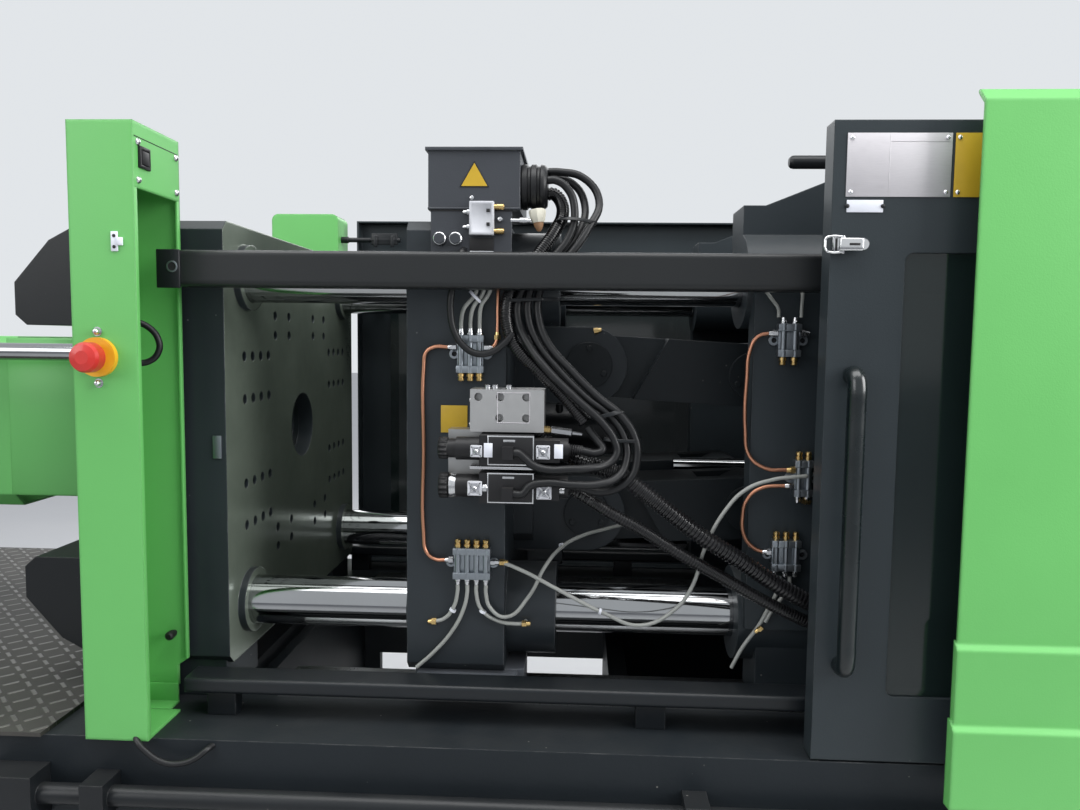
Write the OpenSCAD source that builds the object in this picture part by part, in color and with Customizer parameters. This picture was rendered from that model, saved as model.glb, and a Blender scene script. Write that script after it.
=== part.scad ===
// Injection moulding machine with a double toggle clamp, seen from its back side
// The clamp lies to +X, the injection unit to -X, and the floor is at z = 0

/* [Bed] */
// Length of the welded bed
bed_len = 4700; // [4600:10:4900]
// Width of the welded bed
bed_w = 980; // [960:4:1000]
// Height of the bed's top above the floor
bed_top = 770; // [760:2:776]
// Height of the levelling feet
foot_h = 70; // [55:5:90]
// Thickness of the bed's side plates
side_t = 25; // [16:1:30]
// Width of the bed's top flanges
flange_w = 255; // [245:1:262]
// Thickness of the bed's top flanges
flange_t = 30; // [20:1:36]
// Thickness of the hardened strips that the platens slide on
strip_t = 10; // [8:1:12]
// Width of the sliding strips
strip_w = 100; // [80:2:110]

/* [Clamp axis] */
// Height of the clamp axis above the floor
axis_z = 1175; // [1172:1:1185]
// Mould face of the fixed platen, from the middle of the bed
mould_x = 360; // [350:2:370]

/* [Platens] */
// Width of the platens across the machine
platen_w = 710; // [700:2:720]
// Height of the platens
platen_h = 700; // [690:2:706]
// Chamfer of the platens' long edges
platen_chamfer = 14; // [6:1:20]
// Thickness of the fixed platen
fixed_t = 180; // [150:5:200]
// Thickness of the moving platen
moving_t = 153; // [140:1:160]
// Mould space between the platens at rest
mould_gap = 284; // [270:2:300]
// Radius of the bore for the mould's locating ring
locating_r = 62.5; // [50:0.5:80]
// Depth of the locating bores
locating_depth = 30; // [15:1:40]
// Pitch of the mould fixing holes
hole_pitch = 35; // [34:0.5:35.5]
// Radius of the mould fixing holes
hole_r = 8; // [5:0.5:9]
// Depth of the mould fixing holes
hole_depth = 36; // [20:1:60]

/* [Tie bars] */
// Radius of the tie bars
bar_r = 40; // [35:0.5:42]
// Half the distance between the tie bars across the machine
bar_y = 270; // [266:1:272]
// Half the distance between the tie bars in height
bar_z = 268; // [264:1:270]
// Running clearance of the tie bars in the platens
bar_gap = 0.4; // [0.2:0.05:0.6]
// Length of the anchor blocks on the fixed platen's back
anchor_len = 165; // [140:5:180]
// Radius of the collars round the tie bars
collar_r = 74; // [62:1:75]
// Length of the collars on the moving platen's back
collar_len = 79; // [60:1:85]

/* [Toggle] */
// Length of each toggle link between its pins
link_len = 280; // [276:1:284]
// Half the distance between the upper and the lower pin row
pin_row = 130; // [126:1:132]
// Inward lean of the links at rest, in degrees
rest_dip = 3; // [2:0.5:4]
// Radius of the toggle pins
toggle_pin_r = 30; // [24:1:32]
// Running clearance round the pins
pin_gap = 0.3; // [0.2:0.05:0.5]
// Radius of the eyes at the platens
eye_r = 62; // [54:1:64]
// Radius of the eyes at the knees
knee_r = 55; // [46:1:56]
// Distance from the moving platen's back to its toggle pins
clevis_reach = 128; // [120:1:135]
// Inner face of the eyes, from the middle plane
eye_in = 90; // [89:1:94]
// Outer face of the eyes, from the middle plane
eye_out = 148; // [142:1:149]
// Width of each clevis cheek
cheek_w = 28; // [20:1:29]
// Side gap between an eye and the cheeks
cheek_gap = 1; // [0.5:0.1:2]
// Distance from the tail pins to the wall behind them
wall_reach = 72; // [70:1:80]
// Radius of the crank from the tail pin to the crosshead link
crank_r = 82; // [80:1:86]
// Angle of the crank inwards of its link, in degrees
crank_angle = 61; // [58:1:63]
// Radius of the crosshead pins
cross_pin_r = 14; // [10:1:15]
// Half the thickness of the crosshead across the machine
cross_half_w = 30; // [28:1:31]
// Outer face of the crosshead links
cross_out = 56; // [50:1:58]
// Radius of the rods that guide the crosshead
guide_r = 16; // [12:0.5:17]
// Height of the guide rods above and below the axis
guide_z = 70; // [68:1:76]

/* [Tail platen] */
// Thickness of the tail platen's wall
tail_wall_t = 104; // [90:1:120]
// Depth of the tail platen's open box in front of its wall
tail_depth = 396; // [380:2:400]
// Thickness of the tail platen's side walls
tail_side_t = 40; // [30:1:44]
// Length of the clamp cylinder
cylinder_len = 300; // [290:2:320]
// Bore radius of the clamp cylinder
cylinder_r = 60; // [50:1:64]
// Radius of the crosshead's piston rod
rod_r = 28; // [20:1:30]
// Length of the adjusting nuts
nut_len = 80; // [60:2:90]

/* [Gates and covers] */
// Thickness of the folded sheets
sheet_t = 4; // [3:0.5:5]
// Length of each sliding gate
gate_len = 1100; // [1080:2:1110]
// Height of each sliding gate
gate_h = 865; // [850:1:870]
// Depth of the gates' folded frames
gate_d = 36; // [25:1:38]
// Left edge of the open gate, from the mould face
gate_open_x = 876; // [870:1:880]
// Width of the frame round the gate window
gate_frame = 98; // [80:1:110]
// How far the tail hood stands out past the bed's side
hood_over = 40; // [34:1:50]
// Left edge of the tail hood, from the mould face
hood_x = 1048; // [1044:1:1060]
// Height of the hood's top above the axis
hood_top = 494; // [490:1:510]
// Height of the gate's guide rail
rail_h = 53; // [40:1:56]
// Depth of the gate's guide rail
rail_d = 45; // [35:1:45]

/* [Injection unit] */
// Half the distance between the carriage's guide rods
carriage_y = 215; // [200:1:225]
// Height of the carriage's guide rods above the clamp axis
carriage_z = 142; // [138:1:146]
// Radius of the carriage's guide rods
carriage_rod_r = 15; // [12:0.5:18]
// Outer radius of the barrel
barrel_r = 52; // [45:1:56]
// Radius of the screw
screw_r = 22; // [18:0.5:24]
// Length of the barrel
barrel_len = 1050; // [1000:10:1070]
// Distance of the nozzle's tip behind the mould face
nozzle_back = 150; // [140:2:160]

/* [Hidden] */
$fn = 48;
anthracite = "#3a4048";
green = "#48c43c";
black = "#1c1d20";
chrome = "#d6d9dc";
steel = "#9ca1a6";
zinc = "#8e9599";
plug_grey = "#2b2d30";

// Bed, along X from its middle
bed_end = bed_len / 2;
bed_side = bed_w / 2;
wall_t = 40;
arch_x0 = mould_x + 40;
arch_x1 = arch_x0 + 580;
arch_top = foot_h + 460;
wall_places = [
    -bed_end, -0.64 * bed_end, -0.325 * bed_end, mould_x - fixed_t, mould_x - wall_t, arch_x1, arch_x1 + 520,
    bed_end - wall_t
];
panel_w = 520;
panel_places = [
    (wall_places[0] + wall_places[1] + wall_t) / 2, (wall_places[1] + wall_places[2] + wall_t) / 2,
    (wall_places[2] + wall_places[3] + wall_t) / 2, arch_x1 + 90 + panel_w / 2, bed_end - 150 - panel_w / 2
];
foot_flange_w = 130;
foot_in = 80;
foot_places = [-bed_end + 110, -0.477 * bed_end, mould_x - 120, arch_x1 + 120, bed_end - 110];

// Clamp unit, along X from the mould face
moving_x = mould_gap;
moving_back = moving_x + moving_t;
pin_a = moving_back + clevis_reach;
pin_b = pin_a + link_len * cos(rest_dip);
pin_c = pin_a + 2 * link_len * cos(rest_dip);
knee_z = pin_row - link_len * sin(rest_dip);
wall_x = pin_c + wall_reach;
tail_back = wall_x + tail_wall_t;
tail_front = wall_x - tail_depth;
cheek_in = eye_in - cheek_gap;
cheek_out = eye_out + cheek_gap;
outer_face = cheek_out + cheek_w;
inner_face = cheek_in - cheek_w;
crank_rest = rest_dip + crank_angle;
cross_x = pin_c - 2 * crank_r * cos(crank_rest);
cross_z = pin_row - crank_r * sin(crank_rest);
cross_mid_x = pin_c - crank_r * cos(crank_rest);
cross_reach = 30;
cross_eye_r = cross_pin_r + 14;

// The links fold through this angle, which opens the clamp by the stroke
fold_angle = 60;
clamp_stroke = 2 * link_len * (cos(rest_dip) - cos(fold_angle - rest_dip));
back_pad_t = 34;
box_end = moving_x + 172;
guide_front = moving_back + back_pad_t + clamp_stroke + 8;
bar_end = tail_back + nut_len + 190;
piston_x = tail_back + cylinder_len - 110;
ejector_r = 48;
ejector_len = 183;
bed_under = axis_z - bed_top;
shoe_top = -platen_h / 2;
strip_top = -bed_under + strip_t;
strip_y = bed_side - flange_w + strip_w / 2 + 5;
pin_fit = 0.1;

// Gates, rails and posts
gate_y = bed_side;
closed_x = -12;
gate_z = -bed_under + 3;
window_z = -9;
window_h = 602;
rail_y = gate_y - gate_d - 34 - rail_d;
rail_z = 245;
post_x = -150;
post_w = 92;
post_y = gate_y + 10;
post_d = post_y - rail_y + sheet_t;
post_top = 462;
post_low = -bed_under;
rail_x = post_x + post_w - 7;
rail_end = bed_end - mould_x - 30;
hood_end = bed_end - mould_x;
hood_y = bed_side + hood_over;
hood_low = -bed_under - 33;
lower_rail_z = -365;
lower_rail_h = 23;
lower_rail_end = rail_end - 90;

// Emergency stop on the front gate post
stop_x = -113;
stop_z = 142;
stop_stem_r = 12;
stop_out = 41;
tread_t = 6;

// Side of the moving platen and of the tail platen, where the fittings sit
side_y = platen_w / 2;

// Injection unit, along X from the mould face
nozzle_tip = -nozzle_back;
barrel_front = nozzle_tip - 90;
barrel_back = barrel_front - barrel_len;
carriage_front = barrel_back - 150;
drive_x = carriage_front - 330;
guide_back = -bed_end - mould_x + 150;
guide_support_x = guide_back + 10;

// Shapes along the machine's axes
module xrod(r, x0, x1) {
    translate([x0, 0, 0]) rotate([0, 90, 0]) cylinder(r = r, h = x1 - x0);
}
module yrod(r, y0, y1) {
    translate([0, y0, 0]) rotate([-90, 0, 0]) cylinder(r = r, h = y1 - y0);
}
module zrod(r, z0, z1) {
    translate([0, 0, z0]) cylinder(r = r, h = z1 - z0);
}
module block(x0, x1, y0, y1, z0, z1) {
    translate([x0, y0, z0]) cube([x1 - x0, y1 - y0, z1 - z0]);
}
// A flat outline in Y and Z, drawn out along X
module along_x(x0, x1) {
    translate([x0, 0, 0]) rotate([90, 0, 90]) linear_extrude(x1 - x0) children();
}
// A flat outline in X and Z, drawn out along Y
module along_y(y0, y1) {
    translate([0, y1, 0]) rotate([90, 0, 0]) linear_extrude(y1 - y0) children();
}
module at_axis() {
    translate([mould_x, 0, axis_z]) children();
}
module both_sides() {
    children();
    mirror([0, 1, 0]) children();
}
module both_rows() {
    children();
    mirror([0, 0, 1]) children();
}
module four_corners() {
    both_sides() both_rows() translate([0, bar_y, bar_z]) children();
}
module rounded(w, h, r) {
    square([w - 2 * r, h], center = true);
    square([w, h - 2 * r], center = true);
    for (sx = [-1, 1], sz = [-1, 1])
        translate([sx * (w / 2 - r), sz * (h / 2 - r)]) circle(r = r);
}
module chamfered(w, h, c) {
    polygon([
        [-w / 2 + c, -h / 2], [w / 2 - c, -h / 2], [w / 2, -h / 2 + c], [w / 2, h / 2 - c],
        [w / 2 - c, h / 2], [-w / 2 + c, h / 2], [-w / 2, h / 2 - c], [-w / 2, -h / 2 + c]
    ]);
}
// A small hexagon bolt head that stands out along -Y
module bolt_y(r, h) {
    rotate([90, 0, 0]) cylinder(r = r, h = h, $fn = 6);
}

// Tubes and hoses, swept along the curve through a route's points
function unit(v) = v / norm(v);
function curve(a, b, c, d, t) =
    0.5 * (2 * b + (c - a) * t + (2 * a - 5 * b + 4 * c - d) * t * t + (3 * b - a - 3 * c + d) * t * t * t);
function smooth(p, steps) = [
    for (i = [0:len(p) - 2], k = [0:steps - 1])
        curve(p[max(i - 1, 0)], p[i], p[i + 1], p[min(i + 2, len(p) - 1)], k / steps),
    p[len(p) - 1]
];
function straight_ends(p) = let (n = len(p)) concat(
    [p[0], (p[0] + p[1]) / 2], [for (i = [1:n - 2]) p[i]], [(p[n - 2] + p[n - 1]) / 2, p[n - 1]]
);
function headings(p) = [
    for (i = [0:len(p) - 1]) unit(p[min(i + 1, len(p) - 1)] - p[max(i - 1, 0)])
];
function carried(t, s, i = 0) =
    i >= len(t) ? [] : let (n = unit(s - (s * t[i]) * t[i])) concat([n], carried(t, n, i + 1));

module tube(route, r, steps = 3, sides = 8) {
    path = smooth(straight_ends(route), steps);
    ahead = headings(path);
    across = carried(ahead, [0.31, 0.52, 0.79]);
    n = len(path);
    rings = [
        for (i = [0:n - 1]) let (up = cross(ahead[i], across[i])) for (k = [0:sides - 1])
            path[i] + r * (cos(360 * k / sides) * across[i] + sin(360 * k / sides) * up)
    ];
    polyhedron(rings, concat(
        [[for (k = [0:sides - 1]) k]],
        [for (i = [0:n - 2], k = [0:sides - 1]) let (a = i * sides, b = (k + 1) % sides)
            [a + k, a + sides + k, a + b]],
        [for (i = [0:n - 2], k = [0:sides - 1]) let (a = i * sides, b = (k + 1) % sides)
            [a + b, a + sides + k, a + sides + b]],
        [[for (k = [sides - 1:-1:0]) (n - 1) * sides + k]]
    ));
}

// Routes of the hoses and tubes, from the mould face and the clamp axis, chosen by hand
hose_r = 6;
ribbed_r = [10, 13];
nylon_r = 3;
copper_r = 3;
HOSES = [
    [[562, -398, 45], [568, -400, 36], [578, -404, 24], [584, -409, 14], [574, -412, 9], [558, -413, 11],
     [546, -413, 13], [534.3, -413, 13]],
    [[496.3, -345, 412], [508, -345, 412], [526, -346, 400], [537, -348, 372], [532, -354, 332], [500, -364, 288],
     [464, -367, 252], [455, -367, 228], [456, -370, 200], [469, -382, 170], [502, -399, 128], [546, -406, 86],
     [584, -409, 52], [602, -412, 25], [604, -414, 8], [592, -420, -5], [562, -436, -10], [535, -443, -11],
     [505, -443, -12], [484, -443, -6], [470, -443, 6], [463, -443, 11], [456.3, -443, 11]],
    [[496.3, -308, 422], [510, -308, 422], [536, -309, 412], [552, -314, 384], [546, -336, 340], [512, -358, 292],
     [478, -367, 256], [470, -367, 230], [471, -369, 204], [484, -374, 170], [517, -384, 129], [558, -392, 89],
     [598, -397, 58], [617, -404, 27], [618, -411, -4], [606, -422, -24], [578, -435, -33], [540, -443, -33],
     [502, -443, -31], [480, -443, -36], [468, -443, -48], [456.3, -443, -48]],
    [[496.3, -322, 429], [512, -322, 429], [550, -323, 420], [574, -330, 386], [560, -352, 342], [526, -366, 292],
     [492, -367, 256], [485, -367, 232], [486, -369, 206], [499, -376, 170], [535, -386, 129], [577, -394, 89],
     [613, -401, 60], [632, -408, 28], [634, -411, 0], [627, -413, -24], [606, -413, -42], [578, -413, -48],
     [552, -413, -42], [534.3, -413, -42]],
    [[437.3, -325, -40], [448, -325, -40], [458, -325, -40], [490, -334, -42], [524, -368, -46],
     [556, -390, -58], [599, -392, -84], [641, -392, -106], [701, -392, -142], [760, -392, -174],
     [830, -392, -212], [900, -392, -244], [958, -392, -264]]
];
RIBBED = [
    [[496.3, -325, 395], [505, -325, 395], [517, -328, 381], [519, -333, 362], [511, -342, 342], [485, -354, 302],
     [448, -364, 256], [438, -367, 224], [440, -368, 192], [452, -372, 162], [487, -380, 128], [532, -388, 83],
     [557, -396, 53]],
    [[437.3, -325, 20], [449, -325, 20], [461, -325, 20], [492, -341, 16], [520, -367, 6], [548, -384, -6],
     [580, -390, -16], [612, -391, -26], [640, -394, -46], [670, -399, -68], [730, -401, -112],
     [789, -401, -148], [845, -401, -184], [901, -399, -213], [960, -396, -236]]
];
COPPER = [
    [[362, -364, 160], [350, -364, 160], [328, -362, 160], [315, -360, 152], [311, -359, 130], [311, -359, 0],
     [311, -359, -130], [316, -360, -158], [330, -362, -168], [346, -364, -168], [358, -364, -168]],
    [[404, -364, 160], [414, -364, 160], [422, -363, 168], [424, -362, 190], [424, -361, 216], [424, -360, 246]]
];
NYLON = [
    [[365, -364, -206], [365, -364, -216], [358, -361, -244], [344, -360, -262], [326, -359, -268]],
    [[380, -364, -206], [380, -364, -218], [374, -362, -246], [356, -360, -282], [326, -359, -318], [300, -359, -342]],
    [[394, -364, -206], [394, -364, -218], [402, -361, -246], [426, -360, -263], [454, -359, -268],
     [466, -356, -268], [470, -350, -268], [470, -344.3, -268]],
    [[369, -364, 188], [369, -364, 198], [374, -370, 218], [390, -371, 238], [397, -370, 262], [397, -359, 284],
     [397, -358, 297.7]],
    [[383, -364, 188], [383, -364, 198], [388, -370, 220], [402, -371, 240], [407, -370, 264], [407, -359, 284],
     [407, -358, 297.7]],
    [[397, -364, 188], [397, -364, 198], [400, -370, 222], [412, -371, 242], [417, -370, 266], [417, -359, 284],
     [417, -358, 297.7]],
    [[409, -364, -206], [409, -364, -218], [416, -364, -242], [440, -364, -256], [474, -358, -226], [500, -340, -180],
     [522, -308, -160], [552, -270, -150], [600, -222, -146], [632, -196, -144], [646, -188, -144]],
    [[416, -364, -170], [430, -364, -170], [460, -370, -178], [520, -377, -206], [590, -379, -240], [647, -379, -258],
     [700, -379, -230], [723, -379, -196], [742, -379, -133], [768, -380, -80], [799, -380, -46], [840, -380, -30],
     [868, -380, -26], [880, -379, -25], [887, -376.8, -25], [887, -373.4, -25]]
];
TAIL_COPPER = [
    [[841, -364, 186], [830, -364, 186], [812, -363, 180], [802, -361, 160], [799, -360, 120], [799, -360, 40],
     [806, -361, 2], [830, -364, -16], [860, -364, -18], [872, -364, -18]],
    [[872, -364, -42], [860, -364, -42], [822, -362, -48], [804, -361, -66], [799, -360, -90], [802, -361, -120],
     [816, -363, -138], [832, -364, -144], [842, -364, -144]]
];

// Bed: two channel-shaped sides, with cross walls and a top plate between them
module bed_sides() {
    color(anthracite) both_sides() difference() {
        union() {
            block(-bed_end, bed_end, bed_side - side_t, bed_side, foot_h, bed_top);
            block(-bed_end, bed_end, bed_side - flange_w, bed_side, bed_top - flange_t, bed_top);
            block(-bed_end, bed_end, bed_side - foot_flange_w, bed_side, foot_h, foot_h + side_t);
        }
        block(arch_x0, arch_x1, 0, bed_w, foot_h - 1, arch_top);
        for (x = panel_places) translate([x, 0, (foot_h + bed_top) / 2])
            along_y(bed_side - 6, bed_side + 1) rounded(panel_w, 460, 30);
        for (x = foot_places) translate([x, bed_side - foot_in, foot_h - 1]) cylinder(r = 12.5, h = side_t + 2);
    }
}
module bed_walls() {
    low = foot_h + side_t;
    high = bed_top - flange_t;
    color(anthracite) {
        for (x = wall_places) let (drop = x > mould_x ? 100 : 0)
            block(x, x + wall_t, -bed_side + side_t, bed_side - side_t, low, high - drop);
        block(-bed_end, mould_x - 20, -bed_side + flange_w, bed_side - flange_w, high, bed_top);
    }
}
module levelling_feet() {
    color(plug_grey) both_sides() for (x = foot_places) translate([x, bed_side - foot_in, 0])
        rotate_extrude() polygon([
            [0, 0], [75, 0], [75, 24], [66, 34], [34, 40], [34, foot_h - 12], [26, foot_h], [12, foot_h],
            [12, foot_h + side_t + 40], [0, foot_h + side_t + 40]
        ]);
}
module slide_strips() {
    color(steel) both_sides()
        block(mould_x + 70, mould_x + tail_back + 260, strip_y - strip_w / 2, strip_y + strip_w / 2, bed_top,
            bed_top + strip_t);
}
module tread_plate() {
    color("#6f6d68") difference() {
        block(-bed_end + 790, mould_x - fixed_t - 22, -bed_side - 8, bed_side + 8, bed_top, bed_top + tread_t);
        both_sides() block(mould_x + post_x - 68, mould_x, post_y - post_d - 20, bed_w, bed_top - 1, bed_top + 7);
    }
}
module bed_pipe() {
    pipe_r = 14.5;
    color(black) translate([0, -bed_side - 22, bed_top - 75]) {
        xrod(pipe_r, mould_x - 210, bed_end - 150);
        for (x = [mould_x - 140, mould_x + 700, bed_end - 650]) difference() {
            block(x, x + 34, -24, 22, -26, 26);
            xrod(pipe_r + 0.2, x - 1, x + 35);
        }
        block(mould_x - 290, mould_x - 210, -24, 22, -38, 34);
    }
}

// Fixed side of the clamp
module mould_holes(x0, depth) {
    for (k = [0:3]) for (y = [(5 + k) * hole_pitch]) for (z = [2 * hole_pitch, 4 * hole_pitch])
        both_sides() both_rows() translate([0, y, z]) xrod(hole_r, x0, x0 + depth);
    for (y = [2 * hole_pitch, 4 * hole_pitch]) for (z = [5 * hole_pitch, 6 * hole_pitch])
        both_sides() both_rows() translate([0, y, z]) xrod(hole_r, x0, x0 + depth);
}
module fixed_platen() {
    color(anthracite) at_axis() difference() {
        union() {
            along_x(-fixed_t, 0) chamfered(platen_w, platen_h, platen_chamfer);
            four_corners() xrod(bar_r + 13, 0, 12);
            both_sides() block(-fixed_t, -10, strip_y - 70, platen_w / 2 - 10, -bed_under, shoe_top + 5);
            both_sides() translate([0, carriage_y, carriage_z]) xrod(38, -fixed_t - 45, -fixed_t + 1);
        }
        four_corners() xrod(bar_r, -fixed_t - 1, 13);
        xrod(locating_r, -locating_depth, 1);
        xrod(34, -fixed_t - 1, 0);
        translate([-fixed_t - 1, 0, 0]) rotate([0, 90, 0]) cylinder(r1 = 165, r2 = 60, h = fixed_t - 70);
        mould_holes(-hole_depth, hole_depth + 1);
        both_sides() translate([0, carriage_y, carriage_z]) xrod(carriage_rod_r, -fixed_t - 46, -fixed_t - 5);
    }
}
module tie_bars() {
    color(chrome) at_axis() four_corners() {
        xrod(bar_r, -fixed_t - anchor_len + 30, bar_end);
    }
}
module tie_bar_anchors() {
    low = bar_z - 81;
    color(black) at_axis() both_sides() both_rows() difference() {
        union() {
            along_y(bar_y - 66, bar_y + 66) polygon([
                [-fixed_t, low], [-fixed_t - anchor_len + 18, low], [-fixed_t - anchor_len, low + 16],
                [-fixed_t - anchor_len, bar_z - 14], [-fixed_t - anchor_len + 58, platen_h / 2 - 30],
                [-fixed_t - 50, platen_h / 2], [-fixed_t, platen_h / 2]
            ]);
            translate([0, bar_y, low + 34]) xrod(14, -fixed_t - anchor_len - 12, -fixed_t - anchor_len + 1);
        }
        translate([0, bar_y, bar_z]) xrod(bar_r, -fixed_t - anchor_len + 30, -fixed_t + 1);
    }
}

// Gate posts and rails
module post_shell() {
    difference() {
        block(post_x, post_x + post_w, -post_y, -post_y + post_d, post_low, post_top);
        block(post_x + sheet_t, post_x + post_w + 1, -post_y + sheet_t, -post_y + post_d - sheet_t,
            post_low + sheet_t, post_top - 89);
        block(post_x + sheet_t, post_x + post_w - sheet_t, -post_y + sheet_t, -post_y + post_d - sheet_t,
            post_low + sheet_t, post_top - sheet_t);
        along_y(-post_y + post_d - sheet_t - 30, -post_y + post_d + 1) polygon([
            [post_x + sheet_t, post_low - 1], [post_x + post_w + 1, post_low - 1],
            [post_x + post_w + 1, post_low + 74], [post_x + post_w - 16, post_low + 62],
            [post_x + post_w - 16, post_low + 30], [post_x + sheet_t, post_low + 30]
        ]);
    }
}
module front_gate_post() {
    color(green) at_axis() difference() {
        post_shell();
        translate([stop_x, 0, stop_z]) yrod(stop_stem_r + 0.3, -post_y - 1, -post_y + sheet_t + 1);
    }
}
module back_gate_post() {
    back_y = rail_y + rail_d;
    back_d = 84;
    color(green) at_axis() difference() {
        along_y(back_y, back_y + back_d)
            translate([-132, (post_top + 13 + post_low) / 2]) rounded(165, post_top + 13 - post_low, 16);
        block(-214 + sheet_t, -50 - sheet_t, back_y + sheet_t, back_y + back_d - sheet_t, post_low + sheet_t,
            post_top + 9);
    }
}
// Upper rails with their end columns, and the lower rails on their blocks
module gate_rails() {
    x_mid = (rail_x + rail_end) / 2;
    color(black) at_axis() both_sides() {
        difference() {
            intersection() {
                translate([0, -rail_y - rail_d / 2, rail_z + rail_h / 2]) along_x(rail_x, rail_end)
                    rounded(rail_d, rail_h, 8);
                along_y(-rail_y - rail_d, -rail_y)
                    translate([x_mid, rail_z + rail_h / 2]) rounded(rail_end - rail_x, rail_h, 24);
            }
            translate([0, -rail_y - rail_d / 2, rail_z + rail_h / 2]) along_x(rail_x + 60, rail_end - 40)
                rounded(rail_d - 8, rail_h - 8, 4);
            translate([rail_x + 20, 0, rail_z + 36]) yrod(6, -rail_y - rail_d - 1, -rail_y + 1);
        }
        block(rail_end - 70, rail_end - 30, -rail_y - rail_d, -rail_y, -bed_under, rail_z);
        translate([0, -rail_y - rail_d / 2 - 5, lower_rail_z + lower_rail_h / 2]) along_x(-40, lower_rail_end)
            rounded(rail_d + 6, lower_rail_h, 5);
        for (x = [-12, 640, 1300, lower_rail_end - 60])
            block(x, x + 44, -rail_y - rail_d + 8, -rail_y - 12, -bed_under, lower_rail_z);
    }
}
module stop_ring() {
    color("gold") at_axis() translate([stop_x, 0, stop_z]) difference() {
        yrod(27, -post_y - 8, -post_y);
        yrod(stop_stem_r + 0.3, -post_y - 9, -post_y + 1);
    }
}
module stop_button() {
    color("red") at_axis() translate([stop_x, 0, stop_z]) rotate([90, 0, 0]) rotate_extrude() polygon([
        [0, post_y - 14], [stop_stem_r, post_y - 14], [stop_stem_r, post_y + 14.5], [17, post_y + 15.5],
        [20.5, post_y + 19], [20.5, post_y + stop_out - 7], [18, post_y + stop_out - 2],
        [9, post_y + stop_out], [0, post_y + stop_out]
    ]);
}
module hood_outline(w, top) {
    polygon([
        [-w, hood_low], [w, hood_low], [w, top - 16], [w - 16, top], [-w + 16, top], [-w, top - 16]
    ]);
}
module tail_hood() {
    color(green) at_axis() difference() {
        union() {
            along_x(hood_x, hood_end) hood_outline(hood_y, hood_top);
            along_x(hood_x - 3, hood_end) intersection() {
                hood_outline(hood_y + 7, -209);
                translate([-hood_y - 8, hood_low]) square([2 * hood_y + 16, 225]);
            }
            along_x(hood_x - 6, hood_end) intersection() {
                hood_outline(hood_y + 14, -316);
                translate([-hood_y - 15, hood_low]) square([2 * hood_y + 30, 118]);
            }
        }
        along_x(hood_x - 10, hood_end - sheet_t) translate([0, -sheet_t]) intersection() {
            hood_outline(hood_y - sheet_t, hood_top);
            translate([-hood_y, hood_low + 8]) square([2 * hood_y, hood_top - hood_low - 8]);
        }
        block(hood_x - 10, hood_end + 1, -hood_y + sheet_t, hood_y - sheet_t, hood_low - 2, -bed_under);
        block(hood_x - 10, hood_x + 480, 20 - hood_y, hood_y - 20, hood_top - 20, hood_top + 1);
        for (z = [-120:40:240]) block(hood_end - 10, hood_end + 1, -300, 300, z, z + 10);
    }
}

// Tail platen and what it carries
module clevis_cheeks(x_pin, x_wall, z_pin, r) {
    both_sides() for (y = [inner_face, cheek_out]) {
        translate([x_pin, 0, z_pin]) yrod(r, y, y + cheek_w);
        block(min(x_pin, x_wall), max(x_pin, x_wall), y, y + cheek_w, z_pin - r, z_pin + r);
    }
}
module clevis_bores(x_pin, z_pin) {
    translate([x_pin, 0, z_pin]) yrod(toggle_pin_r, -outer_face - 1, outer_face + 1);
}
module tail_platen() {
    crown = 75;
    color(anthracite) at_axis() difference() {
        union() {
            along_x(wall_x, tail_back) chamfered(platen_w, platen_h, platen_chamfer);
            four_corners() xrod(collar_r, tail_front, wall_x + 1);
            both_sides() {
                block(tail_front + 8, wall_x + 1, platen_w / 2 - tail_side_t, platen_w / 2, -bar_z, bar_z);
                along_y(bar_y - 70, bar_y + 20) polygon([
                    [tail_front, bar_z], [tail_front, platen_h / 2 + 35], [tail_front + 34, platen_h / 2 + 35],
                    [tail_front + 134, platen_h / 2 + crown], [tail_back, platen_h / 2 + crown], [tail_back, bar_z]
                ]);
                block(tail_front + 30, tail_back, strip_y - 45, strip_y + 45, strip_top + 0.3, -bar_z);
            }
            for (s = [-1, 1]) clevis_cheeks(pin_c, wall_x + 1, s * pin_row, eye_r);
        }
        four_corners() xrod(bar_r + bar_gap, tail_front - 1, tail_back + 1);
        for (s = [-1, 1]) clevis_bores(pin_c, s * pin_row);
        for (s = [-1, 1]) translate([0, 0, s * guide_z]) xrod(guide_r, wall_x - 1, tail_back + 1);
        xrod(rod_r + 2, wall_x - 1, tail_back + 1);
    }
}
module adjusting_nuts() {
    teeth = 18;
    color(steel) at_axis() four_corners() difference() {
        union() {
            xrod(60, tail_back, tail_back + nut_len);
            along_x(tail_back + 24, tail_back + 38) polygon([
                for (k = [0:4 * teeth - 1]) let (r = k % 4 < 2 ? 74 : 67)
                    [r * cos(90 * k / teeth), r * sin(90 * k / teeth)]
            ]);
        }
        xrod(bar_r + bar_gap, tail_back - 1, tail_back + nut_len + 1);
    }
}
module crosshead_guides() {
    color(chrome) at_axis() for (s = [-1, 1]) translate([0, 0, s * guide_z])
        xrod(guide_r, guide_front, tail_back - 4);
}
module clamp_cylinder() {
    x0 = tail_back;
    x1 = tail_back + cylinder_len;
    color(black) at_axis() difference() {
        union() {
            xrod(98, x0, x0 + 26);
            xrod(cylinder_r + 14, x0, x1 - 30);
            along_x(x1 - 30, x1) rounded(170, 170, 20);
            for (a = [45:90:315]) rotate([a, 0, 0]) translate([0, 98, 0]) xrod(9, x0, x1 + 8);
            translate([x0 + 60, 0, cylinder_r]) zrod(16, 0, 36);
            translate([x1 - 50, 0, cylinder_r]) zrod(16, 0, 36);
        }
        xrod(rod_r + 0.5, x0 - 1, x0 + 40);
        xrod(cylinder_r, x0 + 36, x1 - 26);
    }
}
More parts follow.
